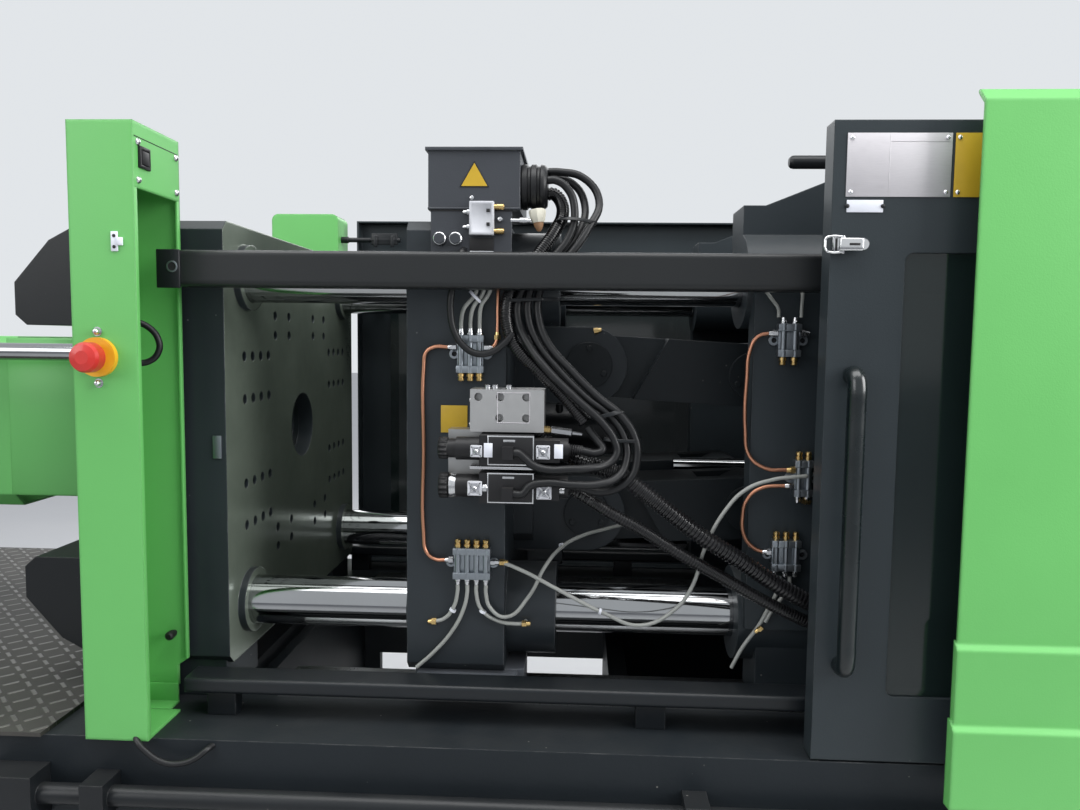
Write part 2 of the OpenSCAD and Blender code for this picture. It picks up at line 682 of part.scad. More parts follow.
// A toggle pin with a cap and three screws on its outer end
module capped_pin(x, z, gap = 0) {
    cap_y = outer_face + gap;
    translate([x, 0, z]) {
        yrod(toggle_pin_r, inner_face - 2, cap_y);
        yrod(40, cap_y, cap_y + 7);
        for (a = [30:120:270]) rotate([0, a, 0]) translate([29, 0, 0]) yrod(5, cap_y + 7, cap_y + 11);
    }
}
module tail_pins() {
    color(steel) at_axis() both_sides() for (s = [-1, 1]) capped_pin(pin_c, s * pin_row);
}
// A lubrication distributor with its row of plugs; the row stands on the top or the bottom
module distributor(x, z, w, h, plugs, up) {
    pitch = w / plugs;
    translate([x, -side_y, z]) {
        block(-w / 2, w / 2, -18, 0, -h / 2, h / 2);
        block(-w / 2 - 8, w / 2 + 8, -6, 0, -7, 7);
        for (k = [0:plugs - 1]) translate([-w / 2 + (k + 0.5) * pitch, -9, 0]) {
            zrod(5, up > 0 ? h / 2 : -h / 2 - 12, up > 0 ? h / 2 + 12 : -h / 2);
            zrod(3.6, up > 0 ? -h / 2 - 9 : h / 2, up > 0 ? -h / 2 : h / 2 + 9);
        }
    }
}
module tail_distributors() {
    color(zinc) at_axis() {
        distributor(858, 176, 34, 50, 2, -1);
        distributor(886, -30, 28, 56, 2, 1);
        distributor(864, -148, 44, 48, 3, 1);
    }
}
module tail_tubes() {
    color("#b5653a") at_axis() for (route = TAIL_COPPER) tube(route, copper_r, 3);
}

// Toggle links, drawn straight along +X from their first pin and then turned to their place
module link_arm(x0, x1, low, high) {
    both_sides() block(x0, x1, inner_face, outer_face, low, high);
}
// Side view of a rear link's tongue: pin C at the origin, the knee towards -X, the crank inwards
module rear_outline() {
    arm_low = 44;
    circle(r = eye_r);
    translate([-link_len, 0]) circle(r = knee_r);
    translate([-link_len, -arm_low]) square([link_len, arm_low + knee_r - 2]);
    rotate(crank_angle) {
        translate([-crank_r, 0]) circle(r = cross_eye_r);
        translate([-crank_r, -cross_eye_r]) square([crank_r, 2 * cross_eye_r]);
    }
}
module rear_link() {
    difference() {
        union() {
            both_sides() along_y(eye_in, eye_out) rear_outline();
            along_arm() polygon([
                [-eye_r - 10, 28], [-eye_r - 10, 52], [-eye_r - 24, knee_r - 1], [-link_len + knee_r + 43, knee_r - 1],
                [-link_len + knee_r + 43, 28]
            ]);
            block(-link_len + 110, -eye_r - 24, -inner_face - 1, inner_face + 1, 34, knee_r - 1);
            both_sides() block(-link_len + 110, -eye_r - 10, eye_out - 1, outer_face, -30, knee_r - 2);
        }
        yrod(toggle_pin_r + pin_gap, -eye_out - 1, eye_out + 1);
        translate([-link_len, 0, 0]) yrod(toggle_pin_r + pin_fit, -eye_out - 1, eye_out + 1);
        rotate([0, -crank_angle, 0]) translate([-crank_r, 0, 0])
            yrod(cross_pin_r + pin_fit, -eye_out - 1, eye_out + 1);
    }
}
module along_arm() {
    both_sides() along_y(inner_face, outer_face) children();
}
module front_link() {
    // pin A at the origin, the knee towards +X
    slot_end = link_len - knee_r - 28;
    difference() {
        union() {
            both_sides() {
                yrod(eye_r, eye_in, eye_out);
                block(0, 130, eye_in, eye_out, -knee_r + 1, knee_r - 1);
                translate([link_len, 0, 0]) yrod(knee_r, inner_face, outer_face);
            }
            along_arm() polygon([
                [eye_r + 18, -knee_r + 1], [link_len, -knee_r + 1], [link_len, knee_r - 1], [eye_r + 72, knee_r - 1]
            ]);
            block(eye_r + 72, slot_end - 20, -inner_face - 1, inner_face + 1, knee_r - 20, knee_r - 1);
        }
        both_sides() block(slot_end, link_len + knee_r + 2, cheek_in, cheek_out, -knee_r - 2, knee_r + 2);
        yrod(toggle_pin_r + pin_gap, -eye_out - 1, eye_out + 1);
        translate([link_len, 0, 0]) yrod(toggle_pin_r + pin_gap, -outer_face - 1, outer_face + 1);
    }
}
module upper_rear_link() {
    color(anthracite) at_axis() translate([pin_c, 0, pin_row]) rotate([0, -rest_dip, 0]) rear_link();
}
module lower_rear_link() {
    color(anthracite) at_axis() mirror([0, 0, 1]) translate([pin_c, 0, pin_row]) rotate([0, -rest_dip, 0]) rear_link();
}
module upper_front_link() {
    color(anthracite) at_axis() translate([pin_a, 0, pin_row]) rotate([0, rest_dip, 0]) front_link();
}
module lower_front_link() {
    color(anthracite) at_axis() mirror([0, 0, 1]) translate([pin_a, 0, pin_row]) rotate([0, rest_dip, 0]) front_link();
}
// The knee pins and the crank pins, which are pressed into the rear links
module knee_pins() {
    both_sides() {
        capped_pin(pin_b, knee_z, pin_gap);
        translate([cross_mid_x, 0, cross_z]) yrod(cross_pin_r, cross_half_w + 2, eye_out);
    }
}
module upper_knee_pins() {
    color(steel) at_axis() knee_pins();
}
module lower_knee_pins() {
    color(steel) at_axis() mirror([0, 0, 1]) knee_pins();
}
module crosshead_link() {
    turn = crank_rest;
    both_sides() translate([cross_x, 0, pin_row]) rotate([0, turn, 0]) difference() {
        union() {
            for (x = [0, crank_r]) translate([x, 0, 0]) yrod(cross_eye_r, cross_half_w + 3, cross_out);
            block(0, crank_r, cross_half_w + 3, cross_out, -20, 20);
        }
        for (x = [0, crank_r]) translate([x, 0, 0]) yrod(cross_pin_r + pin_gap, 0, cross_out + 1);
    }
}
module upper_crosshead_link() {
    color(steel) at_axis() crosshead_link();
}
module lower_crosshead_link() {
    color(steel) at_axis() mirror([0, 0, 1]) crosshead_link();
}
module crosshead() {
    color(anthracite) at_axis() difference() {
        union() {
            along_y(-cross_half_w, cross_half_w) translate([cross_x, 0]) rounded(2 * cross_reach, 2 * pin_row, 12);
            for (s = [-1, 1]) translate([cross_x, 0, s * pin_row]) {
                yrod(cross_reach, -cross_half_w, cross_half_w);
                yrod(cross_pin_r, -cross_out - 2, cross_out + 2);
            }
        }
        for (s = [-1, 1]) translate([0, 0, s * guide_z])
            xrod(guide_r + pin_gap, cross_x - cross_reach - 1, cross_x + cross_reach + 1);
        xrod(22, cross_x - 12, cross_x + cross_reach + 1);
    }
}
module piston_rod() {
    color(chrome) at_axis() {
        xrod(22, cross_x - 12, cross_x + cross_reach + 1);
        xrod(rod_r, cross_x + cross_reach, piston_x);
        xrod(cylinder_r - pin_gap, piston_x, piston_x + 34);
    }
}

// Moving platen and what it carries
module moving_platen() {
    color(anthracite) at_axis() difference() {
        union() {
            along_x(moving_x, moving_back) chamfered(platen_w, platen_h, platen_chamfer);
            four_corners() xrod(collar_r, moving_back - 1, moving_back + collar_len);
            four_corners() xrod(bar_r + 14, moving_x - 8, moving_x + 1);
            along_x(moving_back - 1, moving_back + back_pad_t)
                chamfered(2 * outer_face + 30, 2 * pin_row + 150, 40);
            for (s = [-1, 1]) clevis_cheeks(pin_a, moving_back - 1, s * pin_row, eye_r + 4);
        }
        four_corners() xrod(bar_r + bar_gap, moving_x - 9, moving_back + collar_len + 1);
        for (s = [-1, 1]) clevis_bores(pin_a, s * pin_row);
        xrod(locating_r, moving_x - 1, moving_x + locating_depth);
        xrod(20, moving_x, moving_back + 40);
        mould_holes(moving_x - 1, hole_depth + 1);
    }
}
module platen_shoes() {
    color("#70767c") at_axis() both_sides() {
        block(moving_x + 10, moving_back + 30, strip_y - 45, strip_y + 45, strip_top + 0.3, shoe_top);
        along_y(platen_w / 2 - 40, rail_y - 1) polygon([
            [moving_x + 16, shoe_top - 2], [moving_back + 20, shoe_top - 2], [moving_back + 20, shoe_top - 26],
            [moving_x + 16, shoe_top - 18]
        ]);
    }
}
module platen_pins() {
    color(steel) at_axis() both_sides() for (s = [-1, 1]) capped_pin(pin_a, s * pin_row);
}
module electrical_box() {
    x0 = moving_x + 34;
    x1 = box_end;
    z0 = platen_h / 2 + 15;
    z1 = 452;
    color("#30343a") at_axis() {
        block(x0 + 6, moving_back, -side_y + 14, -side_y + 34, platen_h / 2, z0);
        translate([0, -side_y - 6, 0]) {
            block(x0, x1, 0, 150, z0, z1);
            block(x0 - 4, x1 + 4, -4, 154, z1, z1 + 5);
        }
        block(x0 + 4, x1 - 12, -side_y - 6, -side_y, 298, z0);
        for (x = [x0 + 18, x0 + 42]) translate([x, -side_y - 6, 322]) rotate([90, 0, 0]) zrod(8, 0, 10);
    }
}
module valve_manifold() {
    color("#aeb3b8") at_axis() difference() {
        union() {
            block(moving_x + 106, moving_x + 214, -side_y - 62, -side_y, 38, 100);
            block(moving_x + 70, moving_x + 150, -side_y - 34, -side_y, -64, 38);
        }
        for (x = [118, 150, 188]) translate([moving_x + x, 0, 89]) yrod(6, -side_y - 70, -side_y - 40);
        for (x = [149, 188]) translate([moving_x + x, 0, 58.5]) yrod(6, -side_y - 70, -side_y - 40);
    }
}
module solenoid_valves() {
    color(black) at_axis() for (z = [13, -42]) translate([moving_x + 62, -side_y - 58, z]) {
        block(60, 138, -23, 24, -22, 22);
        block(94, 110, -37, -23, z > 0 ? -11 : -15, z > 0 ? 7 : 3);
        xrod(17, 24, 60);
        xrod(14, 0, 24);
        xrod(17, 138, 188);
        block(138, 176, -23, -14, -16, 16);
    }
}
module distributors() {
    color(zinc) at_axis() {
        distributor(383, 150, 42, 58, 3, -1);
        distributor(387, -172, 58, 50, 4, 1);
    }
}
module copper_tubes() {
    color("#b5653a") at_axis() for (route = COPPER) tube(route, copper_r, 3);
}
module nylon_tubes() {
    color("#a9aca6") at_axis() for (route = NYLON) tube(route, nylon_r, 3);
}
// The boot stands on the electrical box and the hoses leave from its end
module control_hoses() {
    color(black) at_axis() {
        for (route = HOSES) tube(route, hose_r, 2, 8);
        translate([box_end, -325, 405]) rotate([0, 90, 0]) rotate_extrude() polygon([
            [0, 0], [34, 0], [34, 12], [31, 15], [34, 18], [34, 36], [30, 40], [0, 40]
        ]);
    }
}
module ribbed_hoses() {
    color(black) at_axis() for (k = [0, 1]) tube(RIBBED[k], ribbed_r[k], 3, 10);
}
module ejector_cylinder() {
    x0 = moving_back + back_pad_t;
    x1 = moving_back + ejector_len;
    color(black) at_axis() difference() {
        union() {
            xrod(ejector_r, x0, x1);
            for (y = [-28, 28]) translate([x0 + 40, y, 0]) zrod(7, 30, 50);
        }
        xrod(18.5, x0 - 1, x0 + 14);
        xrod(36, x0 + 12, x1 - 12);
    }
}
module ejector_rod() {
    tip = moving_x + 12;
    piston = moving_back + ejector_len - 36;
    color(chrome) at_axis() {
        xrod(18, tip, piston + 1);
        xrod(35.7, piston, piston + 22);
    }
}

// Sliding gates
module gate_panel(x0) {
    x1 = x0 + gate_len;
    z1 = gate_z + gate_h;
    difference() {
        block(x0, x1, -gate_y, -gate_y + gate_d, gate_z, z1);
        block(x0 + sheet_t, x1 - sheet_t, -gate_y + sheet_t, -gate_y + gate_d + 1, gate_z + sheet_t, z1 - sheet_t);
        along_y(-gate_y - 1, -gate_y + sheet_t + 1)
            translate([x0 + gate_len / 2, window_z]) rounded(gate_len - 2 * gate_frame, window_h, 12);
    }
    for (x = [x0 + 30, x1 - 70]) {
        block(x, x + 40, -gate_y + sheet_t, -rail_y - rail_d - 12, rail_z + 8, rail_z + 60);
        translate([x + 20, 0, rail_z + rail_h + 18.5]) yrod(18, -rail_y - rail_d - 12, -rail_y - 4);
    }
}
module gate_pane(x0) {
    pane_lap = 20;
    along_y(-gate_y + sheet_t, -gate_y + sheet_t + 5)
        translate([x0 + gate_len / 2, window_z])
            rounded(gate_len - 2 * gate_frame + 2 * pane_lap, window_h + 2 * pane_lap, 12);
}
module gate_grip(x0) {
    grip_w = 40;
    grip_low = -280;
    grip_top = 144;
    foot = 34;
    difference() {
        along_y(-gate_y - 36, -gate_y)
            translate([x0 + 33, (grip_low + grip_top) / 2]) rounded(grip_w, grip_top - grip_low, 14);
        block(x0 + 12, x0 + 54, -gate_y - 24, -gate_y + 1, grip_low + foot, grip_top - foot);
    }
}
module front_gate() {
    color(anthracite) at_axis() gate_panel(gate_open_x);
}
module front_gate_window() {
    color("#3b4544", 0.6) at_axis() gate_pane(gate_open_x);
}
module front_gate_handle() {
    color(black) at_axis() gate_grip(gate_open_x);
}
module gate_latch() {
    color(chrome) at_axis() translate([gate_open_x + 28, 0, 302]) {
        yrod(5, -gate_y - 14, -gate_y);
        block(-34, 8, -gate_y - 20, -gate_y - 10, -6, 6);
    }
}
module back_gate() {
    color(anthracite) at_axis() mirror([0, 1, 0]) {
        gate_panel(closed_x);
        gate_grip(closed_x);
    }
}
module back_gate_window() {
    color("#3b4544", 0.6) at_axis() mirror([0, 1, 0]) gate_pane(closed_x);
}

// Injection unit
module injection_guides() {
    color(chrome) at_axis() both_sides() {
        translate([0, carriage_y, carriage_z]) xrod(carriage_rod_r, guide_back, -fixed_t - 5);
        difference() {
            block(guide_support_x, guide_support_x + 60, carriage_y - 40, carriage_y + 40, -bed_under,
                carriage_z + 40);
            translate([0, carriage_y, carriage_z]) xrod(carriage_rod_r, guide_back, 0);
        }
    }
}
module carriage() {
    color(anthracite) at_axis() difference() {
        union() {
            along_x(carriage_front, carriage_front + 150) chamfered(2 * carriage_y + 110, 400, 20);
            both_sides() translate([0, carriage_y, carriage_z]) xrod(36, carriage_front - 40, carriage_front + 190);
            both_sides() translate([0, carriage_y - 65, 0]) {
                xrod(20, drive_x - 190, carriage_front + 1);
                xrod(42, carriage_front - 170, carriage_front + 1);
            }
        }
        both_sides() translate([0, carriage_y, carriage_z])
            xrod(carriage_rod_r + pin_gap, carriage_front - 41, carriage_front + 191);
        xrod(barrel_r + 14, carriage_front + 60, carriage_front + 151);
        xrod(screw_r + 12, carriage_front - 1, carriage_front + 151);
        translate([carriage_front + 90, 0, 0]) zrod(40, 0, 201);
    }
}
module barrel() {
    color(steel) at_axis() difference() {
        union() {
            xrod(barrel_r, barrel_back, barrel_front);
            xrod(barrel_r + 14, barrel_back - 90, barrel_back + 1);
            translate([barrel_front, 0, 0]) rotate([0, 90, 0]) cylinder(r1 = 40, r2 = 24, h = 50);
            translate([barrel_front + 49, 0, 0]) rotate([0, 90, 0]) cylinder(r1 = 18, r2 = 12, h = 41);
        }
        xrod(screw_r + 0.4, barrel_back - 91, barrel_front - 20);
        xrod(3, barrel_front - 21, barrel_front + 91);
        translate([barrel_back - 60, 0, 0]) zrod(24, 0, 80);
    }
}
module heater_bands() {
    color(chrome) at_axis() for (k = [0:5]) let (x = barrel_front - 150 - k * 150) difference() {
        union() {
            xrod(barrel_r + 9, x, x + 110);
            block(x + 20, x + 60, -14, 14, barrel_r + 4, barrel_r + 26);
        }
        xrod(barrel_r + 0.2, x - 1, x + 111);
    }
}
module screw() {
    tip = barrel_front - 60;
    pitch = 44;
    color(steel) at_axis() {
        translate([tip - 1, 0, 0]) rotate([0, 90, 0]) cylinder(r1 = screw_r - 4, r2 = 3, h = 34);
        xrod(screw_r - 8, barrel_back - 40, tip);
        for (x = [barrel_back - 40:pitch:tip - 12]) xrod(screw_r, x, x + 8);
        xrod(screw_r, drive_x + 40, barrel_back - 40);
    }
}
module injection_drive() {
    color(anthracite) at_axis() difference() {
        union() {
            along_x(drive_x, drive_x + 70) chamfered(2 * carriage_y + 40, 220, 20);
            xrod(80, drive_x - 60, drive_x);
            xrod(66, drive_x - 210, drive_x - 60);
        }
        both_sides() translate([0, carriage_y - 65, 0]) xrod(20 + pin_gap, drive_x - 1, drive_x + 71);
        xrod(screw_r + 0.4, drive_x + 38, drive_x + 71);
    }
}
module hopper() {
    z0 = 200;
    x = carriage_front + 90;
    color("#c9ccce") at_axis() translate([x, 0, z0]) difference() {
        rotate_extrude() polygon([
            [30, 0], [70, 0], [70, 10], [42, 10], [42, 60], [160, 230], [160, 440], [168, 440], [168, 448], [0, 448],
            [0, 440], [156, 440], [156, 232], [38, 62], [30, 50]
        ]);
        translate([0, 0, 449]) zrod(3, -20, 0);
    }
}
module barrel_guard() {
    x0 = carriage_front + 150;
    guard_y = carriage_y - 39;
    color(green) at_axis() difference() {
        translate([0, 0, 13]) along_x(x0, -470) chamfered(2 * guard_y, 310, 24);
        translate([0, 0, 13]) along_x(x0 - 1, -469)
            chamfered(2 * guard_y - 2 * sheet_t, 310 - 2 * sheet_t, 22);
    }
}
module control_panel() {
    color("#d9dbdc") at_axis() {
        block(-640, -260, gate_y - 70, gate_y + 10, -180, 330);
        block(-620, -280, gate_y + 10, gate_y + 22, 40, 300);
        block(-500, -400, gate_y - 60, gate_y - 10, -bed_under + tread_t, -180);
    }
}

bed_sides();
bed_walls();
levelling_feet();
slide_strips();
tread_plate();
bed_pipe();
fixed_platen();
tie_bars();
tie_bar_anchors();
front_gate_post();
back_gate_post();
gate_rails();
stop_ring();
stop_button();
tail_hood();
injection_guides();
control_panel();
tail_platen();
adjusting_nuts();
crosshead_guides();
clamp_cylinder();
tail_pins();
tail_distributors();
tail_tubes();
upper_rear_link();
lower_rear_link();
upper_front_link();
lower_front_link();
upper_knee_pins();
lower_knee_pins();
upper_crosshead_link();
lower_crosshead_link();
crosshead();
piston_rod();
moving_platen();
platen_shoes();
platen_pins();
electrical_box();
valve_manifold();
solenoid_valves();
distributors();
copper_tubes();
nylon_tubes();
control_hoses();
ribbed_hoses();
ejector_cylinder();
ejector_rod();
front_gate();
front_gate_window();
front_gate_handle();
gate_latch();
back_gate();
back_gate_window();
carriage();
barrel();
heater_bands();
screw();
injection_drive();
hopper();
barrel_guard();
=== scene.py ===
import bpy
import math
from mathutils import Vector, Matrix


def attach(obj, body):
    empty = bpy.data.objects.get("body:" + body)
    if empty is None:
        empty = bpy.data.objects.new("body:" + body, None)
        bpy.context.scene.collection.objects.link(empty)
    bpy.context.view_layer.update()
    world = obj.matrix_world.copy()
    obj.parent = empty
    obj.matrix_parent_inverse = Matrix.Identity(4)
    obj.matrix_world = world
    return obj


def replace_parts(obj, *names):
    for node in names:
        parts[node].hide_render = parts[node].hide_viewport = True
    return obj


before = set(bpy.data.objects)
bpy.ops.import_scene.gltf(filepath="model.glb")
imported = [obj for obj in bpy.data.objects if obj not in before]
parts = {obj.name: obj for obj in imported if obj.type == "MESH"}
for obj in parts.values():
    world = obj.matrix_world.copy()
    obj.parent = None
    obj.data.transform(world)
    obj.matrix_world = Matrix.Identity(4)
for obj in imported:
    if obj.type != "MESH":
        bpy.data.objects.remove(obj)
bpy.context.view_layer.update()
print("frame loaded:", len(parts), "parts")


# Places are in millimetres from the mould face on the clamp's axis
def spot(x, y, z):
    return Vector((0.360 + x / 1000, y / 1000, 1.175 + z / 1000))


def dropPick():
    if bpy.context.object and bpy.context.object.mode != "OBJECT":
        bpy.ops.object.mode_set(mode="OBJECT")
    bpy.ops.object.select_all(action="DESELECT")


def takeUp(piece):
    dropPick()
    piece.select_set(True)
    bpy.context.view_layer.objects.active = piece


# Camera
view = {
    "place": (0.908, -1.605, 1.347),
    "right": (0.99878, 0.04801, 0.01148),
    "up": (-0.01520, 0.07782, 0.99685),
    "ahead": (-0.04696, 0.99581, -0.07846),
    "lens": 27.43,
    "sensor": 36,
    "near": 0.02,
    "far": 60,
}
dropPick()
bpy.ops.object.camera_add()
camera = bpy.context.object
camera.name = "camera"
camera.data.lens = view["lens"]
camera.data.sensor_width = view["sensor"]
camera.data.clip_start = view["near"]
camera.data.clip_end = view["far"]
columns = Matrix((view["right"], view["up"], [-a for a in view["ahead"]])).transposed()
camera.matrix_world = Matrix.Translation(view["place"]) @ columns.to_4x4()
bpy.context.scene.camera = camera
bpy.context.scene.view_settings.view_transform = "Standard"
print("camera set")


# Shader node groups
def newGroup(name, inputs, outputs):
    group = bpy.data.node_groups.new(name, "ShaderNodeTree")
    for label, value in inputs:
        socket = group.interface.new_socket(name=label, in_out="INPUT", socket_type="NodeSocketFloat")
        socket.default_value = value
    for label in outputs:
        kind = "NodeSocketVector" if label == "Normal" else "NodeSocketFloat"
        group.interface.new_socket(name=label, in_out="OUTPUT", socket_type=kind)
    return group, group.nodes.new("NodeGroupInput"), group.nodes.new("NodeGroupOutput")


def addNode(tree, kind, **settings):
    node = tree.nodes.new(kind)
    for key, value in settings.items():
        setattr(node, key, value)
    return node


def mathNode(tree, operation, first, second=None, clamp=False):
    node = addNode(tree, "ShaderNodeMath", operation=operation, use_clamp=clamp)
    for place, value in enumerate((first, second)):
        if value is None:
            continue
        if isinstance(value, (int, float)):
            node.inputs[place].default_value = value
        else:
            tree.links.new(value, node.inputs[place])
    return node.outputs[0]


def times(tree, first, second, clamp=False):
    return mathNode(tree, "MULTIPLY", first, second, clamp)


def objectPlace(tree):
    return addNode(tree, "ShaderNodeTexCoord").outputs["Object"]


def splitNode(tree, vector):
    node = addNode(tree, "ShaderNodeSeparateXYZ")
    tree.links.new(vector, node.inputs[0])
    return node.outputs


def rangeNode(tree, value, fromLow, fromHigh, toLow=0.0, toHigh=1.0):
    node = addNode(tree, "ShaderNodeMapRange", clamp=True)
    tree.links.new(value, node.inputs["Value"])
    limits = {"From Min": fromLow, "From Max": fromHigh, "To Min": toLow, "To Max": toHigh}
    for label, number in limits.items():
        node.inputs[label].default_value = number
    return node.outputs["Result"]


def noiseNode(tree, vector, scale, detail=2.0, roughness=0.5):
    node = addNode(tree, "ShaderNodeTexNoise")
    tree.links.new(vector, node.inputs["Vector"])
    if isinstance(scale, (int, float)):
        node.inputs["Scale"].default_value = scale
    else:
        tree.links.new(scale, node.inputs["Scale"])
    node.inputs["Detail"].default_value = detail
    node.inputs["Roughness"].default_value = roughness
    return node.outputs["Fac"]


def stretched(tree, vector, scale):
    node = addNode(tree, "ShaderNodeMapping")
    tree.links.new(vector, node.inputs["Vector"])
    node.inputs["Scale"].default_value = scale
    return node.outputs["Vector"]


def makePaintSurface():
    group, start, end = newGroup(
        "paintSurface", [("Grain Scale", 300.0), ("Mottle Scale", 3.0)], ["Grain", "Mottle", "Specks"])
    place = objectPlace(group)
    fine = noiseNode(group, place, start.outputs["Grain Scale"], 2.0, 0.6)
    broad = noiseNode(group, place, start.outputs["Mottle Scale"], 4.0, 0.6)
    cells = addNode(group, "ShaderNodeTexVoronoi")
    group.links.new(place, cells.inputs["Vector"])
    cells.inputs["Scale"].default_value = 34.0
    chance = noiseNode(group, place, 9.0, 1.0)
    near = rangeNode(group, cells.outputs["Distance"], 0.03, 0.06, 1.0, 0.0)
    group.links.new(fine, end.inputs["Grain"])
    group.links.new(rangeNode(group, broad, 0.32, 0.68), end.inputs["Mottle"])
    group.links.new(times(group, near, rangeNode(group, chance, 0.52, 0.62)), end.inputs["Specks"])
    return group


# Edge tone found with a bevel: on most paints it marks rubbed wear; on the green coats its paler green is a painted
# edge highlight
def makeEdgeRub():
    group, start, end = newGroup("edgeRub", [("Width", 0.003), ("Amount", 1.0)], ["Rub", "Normal"])
    soft = addNode(group, "ShaderNodeBevel", samples=4)
    group.links.new(start.outputs["Width"], soft.inputs["Radius"])
    flat = addNode(group, "ShaderNodeNewGeometry")
    turn = addNode(group, "ShaderNodeVectorMath", operation="DOT_PRODUCT")
    group.links.new(soft.outputs["Normal"], turn.inputs[0])
    group.links.new(flat.outputs["Normal"], turn.inputs[1])
    edge = rangeNode(group, turn.outputs["Value"], 0.97, 0.80)
    place = objectPlace(group)
    patch = rangeNode(group, noiseNode(group, place, 26.0, 4.0, 0.65), 0.44, 0.62)
    rubAndSheen = times(group, edge, patch)
    group.links.new(times(group, rubAndSheen, start.outputs["Amount"], True), end.inputs["Rub"])
    group.links.new(soft.outputs["Normal"], end.inputs["Normal"])
    return group


def makeSettledDust():
    group, start, end = newGroup("settledDust", [("Amount", 0.5), ("Scale", 7.0)], ["Dust"])
    normal = splitNode(group, addNode(group, "ShaderNodeNewGeometry").outputs["Normal"])
    up = rangeNode(group, normal["Z"], 0.5, 1.0)
    place = objectPlace(group)
    patch = rangeNode(group, noiseNode(group, place, start.outputs["Scale"], 5.0, 0.62), 0.3, 0.75)
    dust = times(group, up, patch)
    group.links.new(times(group, dust, start.outputs["Amount"], True), end.inputs["Dust"])
    return group


def makeToolMarks():
    group, start, end = newGroup("toolMarks", [("Scale", 40.0)], ["Across", "Along", "Stain"])
    place = objectPlace(group)
    across = stretched(group, place, (20.0, 1.0, 1.0))
    along = stretched(group, place, (0.4, 1.0, 9.0))
    group.links.new(noiseNode(group, across, start.outputs["Scale"], 3.0, 0.6), end.inputs["Across"])
    group.links.new(noiseNode(group, along, start.outputs["Scale"], 3.0, 0.6), end.inputs["Along"])
    stain = noiseNode(group, place, 4.5, 5.0, 0.6)
    group.links.new(rangeNode(group, stain, 0.35, 0.7), end.inputs["Stain"])
    return group


paintSurface = makePaintSurface()
edgeRub = makeEdgeRub()
settledDust = makeSettledDust()
toolMarks = makeToolMarks()


def useGroup(tree, group, **values):
    node = addNode(tree, "ShaderNodeGroup", node_tree=group)
    for label, value in values.items():
        node.inputs[label.replace("_", " ")].default_value = value
    return node.outputs


def mixColour(tree, mask, first, second):
    node = addNode(tree, "ShaderNodeMix", data_type="RGBA")
    tree.links.new(mask, node.inputs["Factor"])
    for label, value in (("A", first), ("B", second)):
        socket = [s for s in node.inputs if s.name == label and s.type == "RGBA"][0]
        if isinstance(value, tuple):
            socket.default_value = (*value, 1.0)
        else:
            tree.links.new(value, socket)
    return [s for s in node.outputs if s.type == "RGBA"][0]


def newFinish(name):
    finish = bpy.data.materials.new(name)
    finish.use_nodes = True
    return finish, finish.node_tree, finish.node_tree.nodes["Principled BSDF"]


def addBump(tree, shader, height, strength, distance=0.001, normal=None):
    bump = addNode(tree, "ShaderNodeBump")
    bump.inputs["Strength"].default_value = strength
    bump.inputs["Distance"].default_value = distance
    tree.links.new(height, bump.inputs["Height"])
    if normal:
        tree.links.new(normal, bump.inputs["Normal"])
    tree.links.new(bump.outputs["Normal"], shader.inputs["Normal"])


def lighter(colour, by):
    return tuple(min(1.0, c * by) for c in colour)


# Tones of what has settled on a surface, and of what shows where it is worn
dustTones = {"paint": (0.13, 0.125, 0.115), "plastic": (0.12, 0.115, 0.105), "platen": (0.11, 0.105, 0.095),
             "rail": (0.10, 0.098, 0.09)}
wearTones = {"fleck": (0.35, 0.34, 0.31), "platenFleck": (0.3, 0.3, 0.29), "platenEdge": (0.2, 0.21, 0.22),
             "railEdge": (0.13, 0.13, 0.13)}
# Ground mould face: steel with its own stain, both colours tinted green as a painted green reflection
groundFaceAndReflection = {"colour": (0.22, 0.26, 0.21), "stain": (0.10, 0.125, 0.10), "metal": 0.4}


def paintFinish(name, colour, rough=0.38, grain=260.0, bump=0.12, rubAndSheen=0.5, edgeWearAndSheenColour=(0.22, 0.23, 0.24), dust=0.3,
                mottle=1.25, specks=0.5, edge=0.0025, shine=0.5):
    finish, tree, shader = newFinish(name)
    surface = useGroup(tree, paintSurface, Grain_Scale=grain, Mottle_Scale=3.0)
    wornAndSheened = useGroup(tree, edgeRub, Width=edge, Amount=rubAndSheen)
    laid = useGroup(tree, settledDust, Amount=dust)
    base = mixColour(tree, surface["Mottle"], colour, lighter(colour, mottle))
    fleck = times(tree, surface["Specks"], specks)
    base = mixColour(tree, fleck, base, wearTones["fleck"])
    base = mixColour(tree, wornAndSheened["Rub"], base, edgeWearAndSheenColour)
    base = mixColour(tree, laid["Dust"], base, dustTones["paint"])
    tree.links.new(base, shader.inputs["Base Color"])
    shader.inputs["Specular IOR Level"].default_value = shine
    gloss = rangeNode(tree, surface["Mottle"], 0.0, 1.0, rough, rough + 0.07)
    gloss = mathNode(tree, "ADD", gloss, times(tree, laid["Dust"], 0.3), True)
    tree.links.new(gloss, shader.inputs["Roughness"])
    addBump(tree, shader, surface["Grain"], bump, 0.001, wornAndSheened["Normal"])
    return finish


def steelFinish(name, colour, rough=0.25, scale=40.0, stain=(0.12, 0.11, 0.10), stainAmount=0.3, bump=0.05,
                along=False):
    finish, tree, shader = newFinish(name)
    marks = useGroup(tree, toolMarks, Scale=scale)
    streak = marks["Along" if along else "Across"]
    mask = times(tree, marks["Stain"], stainAmount)
    base = mixColour(tree, mask, colour, stain)
    tree.links.new(base, shader.inputs["Base Color"])
    shader.inputs["Metallic"].default_value = 1.0
    gloss = rangeNode(tree, streak, 0.25, 0.75, rough * 0.75, rough * 1.3)
    gloss = mathNode(tree, "ADD", gloss, times(tree, mask, 0.3), True)
    tree.links.new(gloss, shader.inputs["Roughness"])
    addBump(tree, shader, streak, bump, 0.0004)
    return finish


